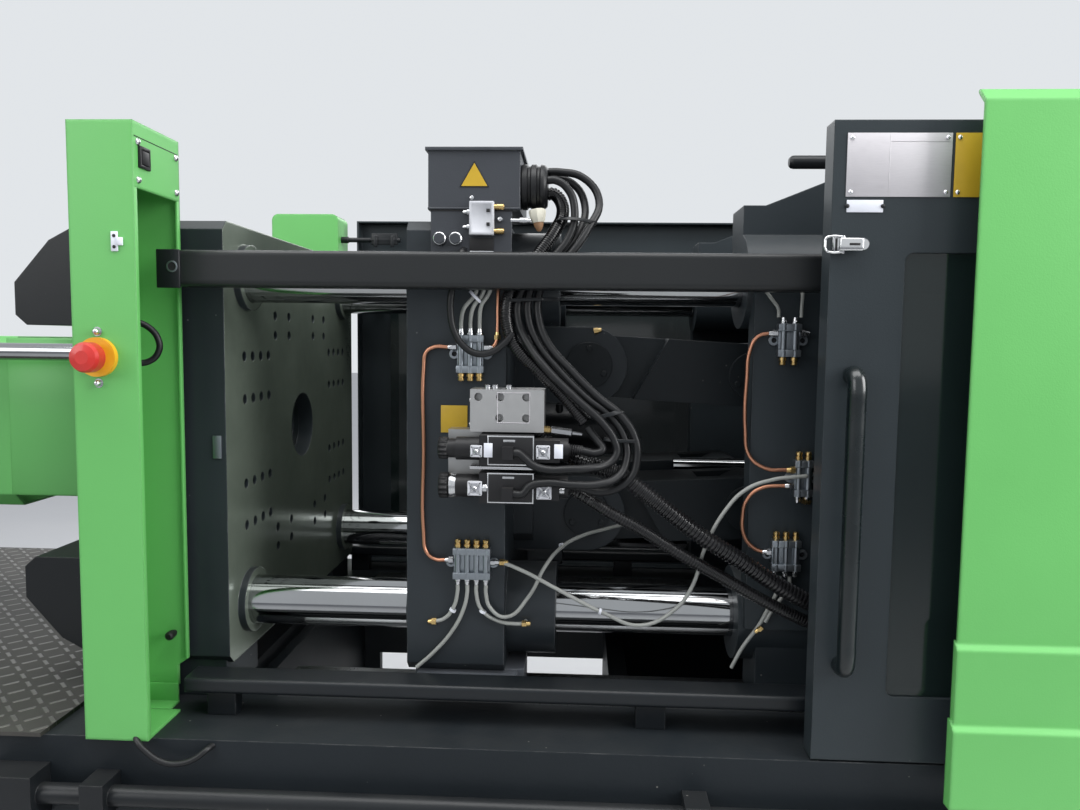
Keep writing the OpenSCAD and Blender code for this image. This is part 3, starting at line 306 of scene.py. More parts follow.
def plasticFinish(name, colour, rough=0.4, coat=0.0, dust=0.15, shine=0.5):
    finish, tree, shader = newFinish(name)
    surface = useGroup(tree, paintSurface, Grain_Scale=500.0, Mottle_Scale=12.0)
    laid = useGroup(tree, settledDust, Amount=dust, Scale=30.0)
    base = mixColour(tree, surface["Mottle"], colour, lighter(colour, 1.18))
    base = mixColour(tree, laid["Dust"], base, dustTones["plastic"])
    tree.links.new(base, shader.inputs["Base Color"])
    tree.links.new(rangeNode(tree, surface["Mottle"], 0.0, 1.0, rough, rough + 0.1), shader.inputs["Roughness"])
    shader.inputs["Specular IOR Level"].default_value = shine
    shader.inputs["Coat Weight"].default_value = coat
    addBump(tree, shader, surface["Grain"], 0.08)
    return finish


# Cast platen: paint all over, with the mould face ground bright; the ground face's green-tinted colour is partly a
# painted green reflection
def platenFinish(name, colour, facePlace, faceWay):
    finish, tree, shader = newFinish(name)
    surface = useGroup(tree, paintSurface, Grain_Scale=120.0, Mottle_Scale=3.0)
    wornAndSheened = useGroup(tree, edgeRub, Width=0.003, Amount=0.6)
    laid = useGroup(tree, settledDust, Amount=0.3)
    marks = useGroup(tree, toolMarks, Scale=30.0)
    paint = mixColour(tree, surface["Mottle"], colour, lighter(colour, 1.3))
    paint = mixColour(tree, times(tree, surface["Specks"], 0.7), paint, wearTones["platenFleck"])
    paint = mixColour(tree, wornAndSheened["Rub"], paint, wearTones["platenEdge"])
    paint = mixColour(tree, laid["Dust"], paint, dustTones["platen"])
    normal = splitNode(tree, addNode(tree, "ShaderNodeNewGeometry").outputs["Normal"])
    place = splitNode(tree, objectPlace(tree))
    facing = rangeNode(tree, times(tree, normal["X"], faceWay), 0.8, 0.95)
    depth = times(tree, mathNode(tree, "SUBTRACT", place["X"], facePlace), faceWay)
    ground = times(tree, facing, rangeNode(tree, depth, -0.002, -0.001))
    steel = mixColour(tree, times(tree, marks["Stain"], 0.6), groundFaceAndReflection["colour"], groundFaceAndReflection["stain"])
    tree.links.new(mixColour(tree, ground, paint, steel), shader.inputs["Base Color"])
    tree.links.new(times(tree, ground, groundFaceAndReflection["metal"]), shader.inputs["Metallic"])
    shader.inputs["Specular IOR Level"].default_value = 0.3
    dull = rangeNode(tree, surface["Mottle"], 0.0, 1.0, 0.36, 0.44)
    bright = rangeNode(tree, marks["Along"], 0.2, 0.8, 0.14, 0.24)
    gap = times(tree, mathNode(tree, "SUBTRACT", bright, dull), ground)
    tree.links.new(mathNode(tree, "ADD", dull, gap), shader.inputs["Roughness"])
    addBump(tree, shader, surface["Grain"], 0.1, 0.001, wornAndSheened["Normal"])
    return finish


# Rails: satin black above, the bed's colour on the lower rail
def railFinish(name, upper, lower):
    finish, tree, shader = newFinish(name)
    surface = useGroup(tree, paintSurface, Grain_Scale=300.0, Mottle_Scale=3.0)
    wornAndSheened = useGroup(tree, edgeRub, Width=0.004, Amount=0.3)
    laid = useGroup(tree, settledDust, Amount=0.12)
    place = splitNode(tree, objectPlace(tree))
    above = rangeNode(tree, place["Z"], 0.900, 0.901)
    base = mixColour(tree, above, lower, upper)
    base = mixColour(tree, wornAndSheened["Rub"], base, wearTones["railEdge"])
    base = mixColour(tree, laid["Dust"], base, dustTones["rail"])
    tree.links.new(base, shader.inputs["Base Color"])
    shader.inputs["Specular IOR Level"].default_value = 0.4
    tree.links.new(rangeNode(tree, surface["Mottle"], 0.0, 1.0, 0.3, 0.38), shader.inputs["Roughness"])
    addBump(tree, shader, surface["Grain"], 0.1, 0.001, wornAndSheened["Normal"])
    return finish


# Checker plate: short raised bars, turned a quarter from one square to the next
def makeTreadBars():
    group, start, end = newGroup("treadBars", [("Squares", 34.0)], ["Bars"])
    place = splitNode(group, objectPlace(group))
    cells, inside = [], []
    for axis in ("X", "Y"):
        along = times(group, place[axis], start.outputs["Squares"])
        cells.append(mathNode(group, "FLOOR", along))
        inside.append(mathNode(group, "SUBTRACT", mathNode(group, "SUBTRACT", along, cells[-1]), 0.5))
    square = mathNode(group, "ADD", cells[0], cells[1])
    odd = mathNode(group, "ABSOLUTE", mathNode(group, "MODULO", square, 2.0))
    plus = mathNode(group, "ABSOLUTE", mathNode(group, "ADD", inside[0], inside[1]))
    minus = mathNode(group, "ABSOLUTE", mathNode(group, "SUBTRACT", inside[0], inside[1]))
    turned = []
    for long, thin in ((plus, minus), (minus, plus)):
        body = times(group, rangeNode(group, thin, 0.10, 0.19, 1.0, 0.0),
                        rangeNode(group, long, 0.50, 0.62, 1.0, 0.0))
        turned.append(body)
    one = times(group, turned[0], odd)
    two = times(group, turned[1], mathNode(group, "SUBTRACT", 1.0, odd))
    group.links.new(mathNode(group, "ADD", one, two, True), end.inputs["Bars"])
    return group


def treadFinish(name, low, high):
    finish, tree, shader = newFinish(name)
    bars = useGroup(tree, makeTreadBars())
    surface = useGroup(tree, paintSurface, Grain_Scale=120.0, Mottle_Scale=5.0)
    base = mixColour(tree, surface["Mottle"], low, lighter(low, 1.5))
    base = mixColour(tree, times(tree, bars["Bars"], 0.8), base, high)
    tree.links.new(base, shader.inputs["Base Color"])
    shader.inputs["Metallic"].default_value = 0.6
    tree.links.new(rangeNode(tree, bars["Bars"], 0.0, 1.0, 0.55, 0.3), shader.inputs["Roughness"])
    addBump(tree, shader, bars["Bars"], 0.9, 0.0015)
    return finish


def paneFinish(name, colour):
    finish, tree, shader = newFinish(name)
    place = objectPlace(tree)
    smear = noiseNode(tree, place, 6.0, 4.0, 0.6)
    tree.links.new(mixColour(tree, rangeNode(tree, smear, 0.3, 0.7), colour, lighter(colour, 1.2)),
                   shader.inputs["Base Color"])
    shader.inputs["Alpha"].default_value = 0.88
    shader.inputs["IOR"].default_value = 1.5
    tree.links.new(rangeNode(tree, smear, 0.3, 0.8, 0.06, 0.16), shader.inputs["Roughness"])
    return finish


# The green coats' paler green edge colour is a painted edge highlight, not wear
greenMix = {
    "colour": (0.13, 0.455, 0.118), "rough": 0.36, "grain": 480.0, "bump": 0.14, "rubAndSheen": 0.12,
    "edgeWearAndSheenColour": (0.34, 0.62, 0.30), "dust": 0.08, "mottle": 1.06, "specks": 0.05,
}
anthracite = paintFinish("anthraciteEnamel", (0.019, 0.025, 0.029), rough=0.4, grain=160.0, bump=0.14, rubAndSheen=0.55,
                         edgeWearAndSheenColour=(0.15, 0.16, 0.165), shine=0.3)
bedEnamel = paintFinish("bedEnamel", (0.010, 0.0135, 0.0165), rough=0.46, grain=140.0, bump=0.2, rubAndSheen=0.7,
                        edgeWearAndSheenColour=(0.12, 0.12, 0.12), dust=0.14, specks=0.8, shine=0.25)
linkEnamel = paintFinish("linkEnamel", (0.011, 0.0145, 0.017), rough=0.4, grain=120.0, bump=0.2, rubAndSheen=0.5,
                         edgeWearAndSheenColour=(0.11, 0.115, 0.12), dust=0.2, shine=0.25)
gateCoat = paintFinish("gateCoat", (0.023, 0.030, 0.034), rough=0.34, grain=420.0, bump=0.16, rubAndSheen=0.25,
                       edgeWearAndSheenColour=(0.16, 0.17, 0.18), dust=0.1, specks=0.1, shine=0.3)
greenCoat = paintFinish("greenCoat", **greenMix, edge=0.006)
greenTrim = paintFinish("greenTrim", **greenMix, edge=0.0006)
greyCoat = paintFinish("greyCoat", (0.55, 0.57, 0.58), rough=0.4, grain=480.0, bump=0.12, rubAndSheen=0.1,
                       edgeWearAndSheenColour=(0.3, 0.3, 0.3), dust=0.05, mottle=1.04, specks=0.05)
boxCoat = paintFinish("boxCoat", (0.038, 0.042, 0.049), rough=0.36, grain=420.0, bump=0.14, rubAndSheen=0.3, dust=0.2,
                      specks=0.2, shine=0.35)
shoeEnamel = paintFinish("shoeEnamel", (0.09, 0.10, 0.115), rough=0.45, grain=160.0, bump=0.2, rubAndSheen=0.6)
satinBlack = paintFinish("satinBlack", (0.009, 0.0105, 0.012), rough=0.32, grain=300.0, bump=0.1, rubAndSheen=0.35,
                         edgeWearAndSheenColour=(0.10, 0.10, 0.10), dust=0.1, mottle=1.3, specks=0.3, shine=0.3)
gripBlack = plasticFinish("gripBlack", (0.004, 0.0075, 0.0085), rough=0.24, coat=0.2, dust=0.05)
fixedSteel = platenFinish("fixedPlatenFinish", (0.019, 0.025, 0.028), facePlace=0.360, faceWay=1.0)
movingSteel = platenFinish("movingPlatenFinish", (0.020, 0.025, 0.029), facePlace=0.644, faceWay=-1.0)
barChrome = steelFinish("barChrome", (0.38, 0.39, 0.40), rough=0.07, scale=30.0, stain=(0.22, 0.21, 0.20),
                        stainAmount=0.25, bump=0.02)
groundSteel = steelFinish("groundSteel", (0.42, 0.43, 0.44), rough=0.26, scale=60.0, stainAmount=0.4)
barrelSteel = steelFinish("barrelSteel", (0.33, 0.32, 0.31), rough=0.32, scale=60.0, stainAmount=0.5)
bandSteel = steelFinish("bandSteel", (0.5, 0.49, 0.46), rough=0.3, scale=50.0)
hopperSteel = steelFinish("hopperSteel", (0.55, 0.56, 0.57), scale=50.0, along=True)
latchChrome = steelFinish("latchChrome", (0.78, 0.79, 0.80), rough=0.1, scale=60.0)
treadSteel = treadFinish("treadSteel", low=(0.06, 0.057, 0.052), high=(0.2, 0.19, 0.175))
railCoat = railFinish("railCoat", upper=(0.012, 0.0135, 0.0145), lower=(0.008, 0.0105, 0.013))
zincCast = steelFinish("zincCast", (0.30, 0.33, 0.36), rough=0.36, scale=90.0, stain=(0.1, 0.11, 0.12),
                       stainAmount=0.4)
manifoldMetal = steelFinish("manifoldMetal", (0.50, 0.50, 0.50), rough=0.38, scale=90.0, stain=(0.3, 0.3, 0.29))
copperTube = steelFinish("copperTube", (0.62, 0.30, 0.19), rough=0.3, scale=90.0, stain=(0.25, 0.11, 0.07),
                         stainAmount=0.45)
brass = steelFinish("brass", (0.66, 0.47, 0.20), rough=0.24, scale=120.0, stain=(0.3, 0.2, 0.08))
nylon = plasticFinish("nylonTube", (0.30, 0.31, 0.29), rough=0.32)
valveBlack = plasticFinish("valveBlack", (0.009, 0.009, 0.010), rough=0.42, shine=0.35)
hoseRubber = plasticFinish("hoseRubber", (0.007, 0.0075, 0.0085), rough=0.36, dust=0.08, shine=0.35)
conduitBlack = plasticFinish("conduitBlack", (0.006, 0.006, 0.007), rough=0.22, dust=0.05, shine=0.6)
footRubber = plasticFinish("footRubber", (0.02, 0.02, 0.02), rough=0.6)
buttonRed = plasticFinish("buttonRed", (0.50, 0.022, 0.016), rough=0.3, coat=0.3)
ringYellow = plasticFinish("ringYellow", (0.72, 0.36, 0.015), rough=0.35)
smokedPane = paneFinish("smokedPane", (0.010, 0.017, 0.017))
brightNickel = steelFinish("brightNickel", (0.66, 0.67, 0.69), rough=0.2, scale=120.0, stainAmount=0.2)
plateSilver = steelFinish("plateSilver", (0.60, 0.58, 0.60), rough=0.5, scale=200.0, stain=(0.46, 0.45, 0.47),
                          stainAmount=0.4, along=True)
labelYellow = plasticFinish("labelYellow", (0.48, 0.31, 0.02), rough=0.34)
labelWhite = plasticFinish("labelWhite", (0.70, 0.72, 0.78))
creamPlastic = plasticFinish("creamPlastic", (0.62, 0.60, 0.50), rough=0.42)
brownPlastic = plasticFinish("brownPlastic", (0.30, 0.17, 0.09))
terminalGrey = plasticFinish("terminalGrey", (0.50, 0.51, 0.54), rough=0.38)
# Flat near-black for holes, slots and gaps: painted shade where the real recess would be shaded
paintedRecessShade = plasticFinish("paintedRecessShade", (0.004, 0.004, 0.005), rough=0.6)
print("finishes made")

partFinishes = [
    (bedEnamel, ("bed_sides", "bed_walls")),
    (footRubber, ("levelling_feet",)),
    (groundSteel, ("slide_strips", "adjusting_nuts", "upper_crosshead_link", "lower_crosshead_link", "screw")),
    (treadSteel, ("tread_plate",)),
    (satinBlack, ("bed_pipe", "tie_bar_anchors", "clamp_cylinder", "ejector_cylinder", "front_gate_handle")),
    (fixedSteel, ("fixed_platen",)),
    (barChrome, ("tie_bars", "injection_guides", "crosshead_guides", "piston_rod", "ejector_rod")),
    (greenCoat, ("front_gate_post", "back_gate_post", "tail_hood", "barrel_guard")),
    (railCoat, ("gate_rails",)),
    (ringYellow, ("stop_ring",)),
    (buttonRed, ("stop_button",)),
    (greyCoat, ("control_panel",)),
    (anthracite, ("tail_platen", "carriage", "injection_drive")),
    (linkEnamel, ("tail_pins", "upper_rear_link", "lower_rear_link", "upper_front_link", "lower_front_link",
                  "upper_knee_pins", "lower_knee_pins", "crosshead", "platen_pins")),
    (zincCast, ("tail_distributors", "distributors")),
    (copperTube, ("tail_tubes", "copper_tubes")),
    (movingSteel, ("moving_platen",)),
    (shoeEnamel, ("platen_shoes",)),
    (boxCoat, ("electrical_box",)),
    (manifoldMetal, ("valve_manifold",)),
    (valveBlack, ("solenoid_valves",)),
    (nylon, ("nylon_tubes",)),
    (hoseRubber, ("control_hoses", "ribbed_hoses")),
    (gateCoat, ("front_gate", "back_gate")),
    (smokedPane, ("front_gate_window", "back_gate_window")),
    (latchChrome, ("gate_latch",)),
    (barrelSteel, ("barrel",)),
    (bandSteel, ("heater_bands",)),
    (hopperSteel, ("hopper",)),
]
for finish, names in partFinishes:
    for name in names:
        part = parts[name]
        if not part.material_slots:
            part.data.materials.append(finish)
        for slot in part.material_slots:
            slot.material = finish
print("parts finished")


# Directions: towards the camera's side, the clamp's tail, the feed end and the roof
toFront, toTail, toFeed, toTop = (0, -1, 0), (1, 0, 0), (-1, 0, 0), (0, 0, 1)


# Making pieces
def joinUp(pieces):
    if len(pieces) == 1:
        return pieces[0]
    dropPick()
    for piece in pieces:
        piece.select_set(True)
    bpy.context.view_layer.objects.active = pieces[0]
    bpy.ops.object.join()
    return bpy.context.object


def settle(made, name, finish, body):
    piece = joinUp(made) if isinstance(made, list) else made
    piece.name = name
    piece.data.name = name
    piece.data.materials.clear()
    piece.data.materials.append(finish)
    takeUp(piece)
    bpy.ops.object.transform_apply(location=True, rotation=True, scale=True)
    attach(piece, body)
    return piece


def onPlaten(made, name, finish):
    return settle(made, name, finish, "moving_platen")


def addBlock(low, high):
    dropPick()
    a, b = spot(*low), spot(*high)
    bpy.ops.mesh.primitive_cube_add(size=1, location=(a + b) / 2)
    piece = bpy.context.object
    piece.scale = b - a
    bpy.ops.object.transform_apply(location=True, rotation=True, scale=True)
    return piece


# Steps are (distance along, radius); a ring closes on its first step
def turnPiece(start, way, steps, sides=20, ring=False, smooth=35):
    dropPick()
    ahead, place = Vector(way).normalized(), spot(*start)
    bpy.ops.mesh.primitive_circle_add(
        vertices=sides, radius=steps[0][1] / 1000, fill_type="NOTHING" if ring else "NGON",
        location=place + ahead * steps[0][0] / 1000, rotation=ahead.to_track_quat("Z", "Y").to_euler())
    piece = bpy.context.object
    bpy.ops.object.transform_apply(location=True, rotation=True, scale=True)
    bpy.ops.object.mode_set(mode="EDIT")
    bpy.ops.mesh.select_mode(type="VERT")
    bpy.ops.mesh.select_all(action="SELECT")
    for (was, oldRadius), (now, radius) in zip(steps, steps[1:]):
        bpy.ops.mesh.extrude_region_move(TRANSFORM_OT_translate={"value": tuple(ahead * (now - was) / 1000)})
        size = radius / oldRadius
        bpy.ops.transform.resize(value=(size, size, size), center_override=tuple(place + ahead * now / 1000))
    bpy.ops.mesh.select_all(action="SELECT")
    bpy.ops.mesh.remove_doubles(threshold=0.00001)
    bpy.ops.mesh.normals_make_consistent(inside=False)
    bpy.ops.object.mode_set(mode="OBJECT")
    bpy.ops.object.shade_smooth_by_angle(angle=math.radians(smooth))
    return piece


def useModifier(piece, kind, **settings):
    takeUp(piece)
    bpy.ops.object.modifier_add(type=kind)
    modifier = piece.modifiers[-1]
    for key, value in settings.items():
        setattr(modifier, key, value)
    bpy.ops.object.modifier_apply(modifier=modifier.name)
    return piece


def roundEdges(piece, width, steps=2):
    useModifier(piece, "BEVEL", width=width / 1000, segments=steps, limit_method="ANGLE",
                angle_limit=math.radians(35))
    takeUp(piece)
    bpy.ops.object.shade_smooth_by_angle(angle=math.radians(40))
    return piece


def softBlock(low, high, width=1.0, steps=2):
    return roundEdges(addBlock(low, high), width, steps)


def pickFaces(piece, wanted):
    takeUp(piece)
    bpy.ops.object.mode_set(mode="EDIT")
    bpy.ops.mesh.select_mode(type="FACE")
    bpy.ops.mesh.select_all(action="DESELECT")
    bpy.ops.object.mode_set(mode="OBJECT")
    for face in piece.data.polygons:
        face.select = wanted(face)
    bpy.ops.object.mode_set(mode="EDIT")


def editAll():
    bpy.ops.object.mode_set(mode="EDIT")
    bpy.ops.mesh.select_all(action="SELECT")


# Sets the wanted faces in, once for each (thickness, depth)
def insetFaces(piece, wanted, insets):
    pickFaces(piece, wanted)
    for thickness, depth in insets:
        bpy.ops.mesh.inset(thickness=thickness, depth=depth)
    bpy.ops.object.mode_set(mode="OBJECT")


def layRoute(points):
    curve = bpy.data.curves.new("route", "CURVE")
    curve.dimensions = "3D"
    curve.resolution_u = 6
    spline = curve.splines.new("BEZIER")
    spline.bezier_points.add(len(points) - 1)
    for knot, point in zip(spline.bezier_points, points):
        knot.co = spot(*point)
        knot.handle_left_type = knot.handle_right_type = "AUTO"
    holder = bpy.data.objects.new("route", curve)
    bpy.context.scene.collection.objects.link(holder)
    return holder


def layTube(points, radius, around=4):
    holder = layRoute(points)
    holder.data.bevel_depth = radius / 1000
    holder.data.bevel_resolution = around
    holder.data.use_fill_caps = True
    takeUp(holder)
    bpy.ops.object.convert(target="MESH")
    bpy.ops.object.shade_smooth_by_angle(angle=math.radians(60))
    return bpy.context.object


# A ribbed hose: one rib, repeated along the route
def layRibbedHose(points, radius, pitch, depth, sides=16):
    holder = layRoute(points)
    dropPick()
    bpy.ops.mesh.primitive_circle_add(
        vertices=sides, radius=(radius - depth) / 1000, location=(0, 0, 0), rotation=(0, math.radians(90), 0))
    rib = bpy.context.object
    bpy.ops.object.transform_apply(location=True, rotation=True, scale=True)
    editAll()
    step = pitch / 4000
    full = radius / (radius - depth)
    profile = ((0.6, 1.0), (0.8, full), (1.2, 1.0), (0.8, 1 / full), (0.6, 1.0))
    for share, size in profile:
        bpy.ops.mesh.extrude_region_move(TRANSFORM_OT_translate={"value": (step * share, 0, 0)})
        bpy.ops.transform.resize(value=(1, size, size))
    bpy.ops.object.mode_set(mode="OBJECT")
    useModifier(rib, "ARRAY", fit_type="FIT_CURVE", curve=holder, use_merge_vertices=True,
                merge_threshold=0.0003, relative_offset_displace=(1, 0, 0))
    useModifier(rib, "CURVE", object=holder, deform_axis="POS_X")
    takeUp(rib)
    editAll()
    bpy.ops.mesh.fill_holes(sides=0)
    bpy.ops.mesh.select_all(action="SELECT")
    bpy.ops.mesh.normals_make_consistent(inside=False)
    bpy.ops.object.mode_set(mode="OBJECT")
    bpy.ops.object.shade_smooth_by_angle(angle=math.radians(50))
    bpy.data.objects.remove(holder)
    return rib


hoseRoutes = {
    "radius": 6,
    "bootPlace": (456, -325, 405),
    "boot": [(0, 30), (0, 32), (2, 34), (9, 34), (11, 31), (14, 31), (16, 34), (23, 34), (25, 31), (28, 31), (30, 34),
             (35, 33), (39, 30), (40, 27)],
    "routes": [
        [(562, -398, 45), (568, -400, 36), (578, -404, 24), (584, -409, 14), (574, -412, 9), (558, -413, 11),
         (546, -413, 13), (534.3, -413, 13)],
        [(496.3, -345, 412), (508, -345, 412), (526, -346, 400), (537, -348, 372), (532, -354, 332), (500, -364, 288),
         (464, -367, 252), (455, -367, 228), (456, -370, 200), (469, -382, 170), (502, -399, 128), (546, -406, 86),
         (584, -409, 52), (602, -412, 25), (604, -414, 8), (592, -420, -5), (562, -436, -10), (535, -443, -11),
         (505, -443, -12), (484, -443, -6), (470, -443, 6), (463, -443, 11), (456.3, -443, 11)],
        [(496.3, -308, 422), (510, -308, 422), (536, -309, 412), (552, -314, 384), (546, -336, 340), (512, -358, 292),
         (478, -367, 256), (470, -367, 230), (471, -369, 204), (484, -374, 170), (517, -384, 129), (558, -392, 89),
         (598, -397, 58), (617, -404, 27), (618, -411, -4), (606, -422, -24), (578, -435, -33), (540, -443, -33),
         (502, -443, -31), (480, -443, -36), (468, -443, -48), (456.3, -443, -48)],
        [(496.3, -322, 429), (512, -322, 429), (550, -323, 420), (574, -330, 386), (560, -352, 342), (526, -366, 292),
         (492, -367, 256), (485, -367, 232), (486, -369, 206), (499, -376, 170), (535, -386, 129), (577, -394, 89),
         (613, -401, 60), (632, -408, 28), (634, -411, 0), (627, -413, -24), (606, -413, -42), (578, -413, -48),
         (552, -413, -42), (534.3, -413, -42)],
        [(437.3, -325, -40), (448, -325, -40), (458, -325, -40), (490, -334, -42), (524, -368, -46), (556, -390, -58),
         (599, -392, -84), (641, -392, -106), (701, -392, -142), (760, -392, -174), (830, -392, -212),
         (900, -392, -244), (958, -392, -264)],
    ],
}
conduitRoutes = {
    "radius": [10, 13, 9.5],
    "pitch": [3.6, 6.0, 4.4],
    "depth": [1.3, 2.4, 1.2],
    "sleeveStart": (500, -345, -43),
    "routes": [
        [(496.3, -325, 395), (505, -325, 395), (517, -328, 381), (519, -333, 362), (511, -342, 342), (485, -354, 302),
         (448, -364, 256), (438, -367, 224), (440, -368, 192), (452, -372, 162), (487, -380, 128), (532, -388, 83),
         (557, -396, 53)],
        [(437.3, -325, 20), (449, -325, 20), (461, -325, 20), (492, -341, 16), (520, -367, 6), (548, -384, -6),
         (580, -390, -16), (612, -391, -26), (640, -394, -46), (670, -399, -68), (730, -401, -112), (789, -401, -148),
         (845, -401, -184), (901, -399, -213), (960, -396, -236)],
    ],
}
copperRoutes = {
    "radius": 3,
    "routes": [
        [(362, -364, 160), (350, -364, 160), (328, -362, 160), (315, -360, 152), (311, -359, 130), (311, -359, 0),
         (311, -359, -130), (316, -360, -158), (330, -362, -168), (346, -364, -168), (358, -364, -168)],
        [(404, -364, 160), (414, -364, 160), (422, -363, 168), (424, -362, 190), (424, -361, 216), (424, -360, 246)],
    ],
}
tailCopperRoutes = {
    "radius": 3,
    "routes": [
        [(841, -364, 186), (830, -364, 186), (812, -363, 180), (802, -361, 160), (799, -360, 120), (799, -360, 40),
         (806, -361, 2), (830, -364, -16), (860, -364, -18), (872, -364, -18)],
        [(872, -364, -42), (860, -364, -42), (822, -362, -48), (804, -361, -66), (799, -360, -90), (802, -361, -120),
         (816, -363, -138), (832, -364, -144), (842, -364, -144)],
    ],
}
nylonRoutes = {
    "radius": 3,
    "routes": [
        [(365, -364, -206), (365, -364, -216), (358, -361, -244), (344, -360, -262), (326, -359, -268)],
        [(380, -364, -206), (380, -364, -218), (374, -362, -246), (356, -360, -282), (326, -359, -318),
         (300, -359, -342)],
        [(394, -364, -206), (394, -364, -218), (402, -361, -246), (426, -360, -263), (454, -359, -268),
         (466, -356, -268), (470, -350, -268), (470, -344.3, -268)],
        [(369, -364, 188), (369, -364, 198), (374, -370, 218), (390, -371, 238), (397, -370, 262), (397, -359, 284),
         (397, -358, 297.7)],
        [(383, -364, 188), (383, -364, 198), (388, -370, 220), (402, -371, 240), (407, -370, 264), (407, -359, 284),
         (407, -358, 297.7)],
        [(397, -364, 188), (397, -364, 198), (400, -370, 222), (412, -371, 242), (417, -370, 266), (417, -359, 284),
         (417, -358, 297.7)],
        [(409, -364, -206), (409, -364, -218), (416, -364, -242), (440, -364, -256), (474, -358, -226),
         (500, -340, -180), (522, -308, -160), (552, -270, -150), (600, -222, -146), (632, -196, -144),
         (646, -188, -144)],
        [(416, -364, -170), (430, -364, -170), (460, -370, -178), (520, -377, -206), (590, -379, -240),
         (647, -379, -258), (700, -379, -230), (723, -379, -196), (742, -379, -133), (768, -380, -80),
         (799, -380, -46), (840, -380, -30), (868, -380, -26), (880, -379, -25), (887, -376.8, -25),
         (887, -373.4, -25)],
    ],
}


def layTubes(settings, name, finish, body, node):
    piece = settle([layTube(route, settings["radius"]) for route in settings["routes"]], name, finish, body)
    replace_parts(piece, node)


hoseTubes = [layTube(route, hoseRoutes["radius"]) for route in hoseRoutes["routes"]]
hoseTubes.append(turnPiece(hoseRoutes["bootPlace"], toTail, hoseRoutes["boot"], 32))
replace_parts(onPlaten(hoseTubes, "controlHoses", hoseRubber), "control_hoses")
layTubes(copperRoutes, "copperTubes", copperTube, "moving_platen", "copper_tubes")
layTubes(nylonRoutes, "nylonTubes", nylon, "moving_platen", "nylon_tubes")
layTubes(tailCopperRoutes, "tailTubes", copperTube, "tail", "tail_tubes")
# The lowest hose runs on in a ribbed sleeve
sleeveStart = conduitRoutes["sleeveStart"]
sleeveRoute = [sleeveStart] + [point for point in hoseRoutes["routes"][-1] if point[0] > sleeveStart[0]]
conduits = [
    layRibbedHose(route, conduitRoutes["radius"][k], conduitRoutes["pitch"][k], conduitRoutes["depth"][k])
    for k, route in enumerate(conduitRoutes["routes"] + [sleeveRoute])]
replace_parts(onPlaten(conduits, "ribbedConduits", conduitBlack), "ribbed_hoses")
print("hoses and tubes laid")


# Lubrication distributors: ribbed cast bodies, brass caps, nickel tube ends
distributorSettings = {
    "side": -355,
    "moving_platen": [(383, 150, 42, 58, 3, -1), (387, -172, 58, 50, 4, 1)],
    "tail": [(858, 176, 34, 50, 2, -1), (886, -30, 28, 56, 2, 1), (864, -148, 44, 48, 3, 1)],
    "cap": [(-2, 4.0), (1, 4.0), (1, 5.3), (5, 5.3), (5.4, 3.9), (7.4, 3.9), (7.8, 4.9), (11, 4.7), (12, 3.4)],
    "end": [(-2, 4.9), (3, 4.9), (3.6, 4.3), (7, 3.9), (9, 3.5)],
    "ear": [(0, 4.0), (0, 7.4), (0.6, 8.0), (5.4, 8.0), (6, 7.4), (6, 4.0), (0, 4.0)],
    "screw": [(0, 3.8), (2.6, 3.8), (3.2, 3.2), (3.2, 1.9), (1.8, 1.8)],
}


def makeDistributor(settings, x, z, wide, high, plugs, up):
    side = settings["side"]
    left, right, low, top = x - wide / 2, x + wide / 2, z - high / 2, z + high / 2
    zinc = [softBlock((left + 1, side - 11, low + 9), (right - 1, side, top - 9))]
    caps, ends, screws = [], [], []
    for way in (-1, 1):
        edge = z + way * (high / 2 - 6)
        ear = (x + way * (wide / 2 + 4), side, z)
        zinc.append(softBlock((left, side - 17, edge - 5.4), (right, side, edge + 5.4), 1.2))
        zinc.append(turnPiece(ear, toFront, settings["ear"], 20, True))
        screws.append(turnPiece(ear, toFront, settings["screw"], 12))
    barrel = [(0, 4.4), (0.6, 5.6), (10, 5.6), (11, 4.3), (high - 11, 4.3), (high - 10, 5.6), (high - 0.6, 5.6),
              (high, 4.4)]
    for k in range(plugs):
        across = left + (k + 0.5) * wide / plugs
        zinc.append(turnPiece((across, side - 12, low), toTop, barrel, 14))
        caps.append(turnPiece((across, side - 9, z + up * high / 2), (0, 0, up), settings["cap"], 12))
        ends.append(turnPiece((across, side - 9, z - up * high / 2), (0, 0, -up), settings["end"], 12))
    return zinc, caps, ends, screws


for body, node in (("moving_platen", "distributors"), ("tail", "tail_distributors")):
    made = [makeDistributor(distributorSettings, *place) for place in distributorSettings[body]]
    zinc, caps, ends, screws = (sum(kind, []) for kind in zip(*made))
    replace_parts(settle(zinc, body + "Distributors", zincCast, body), node)
    settle(caps, body + "DistributorCaps", brass, body)
    settle(ends, body + "DistributorEnds", brightNickel, body)
    settle(screws, body + "DistributorScrews", satinBlack, body)

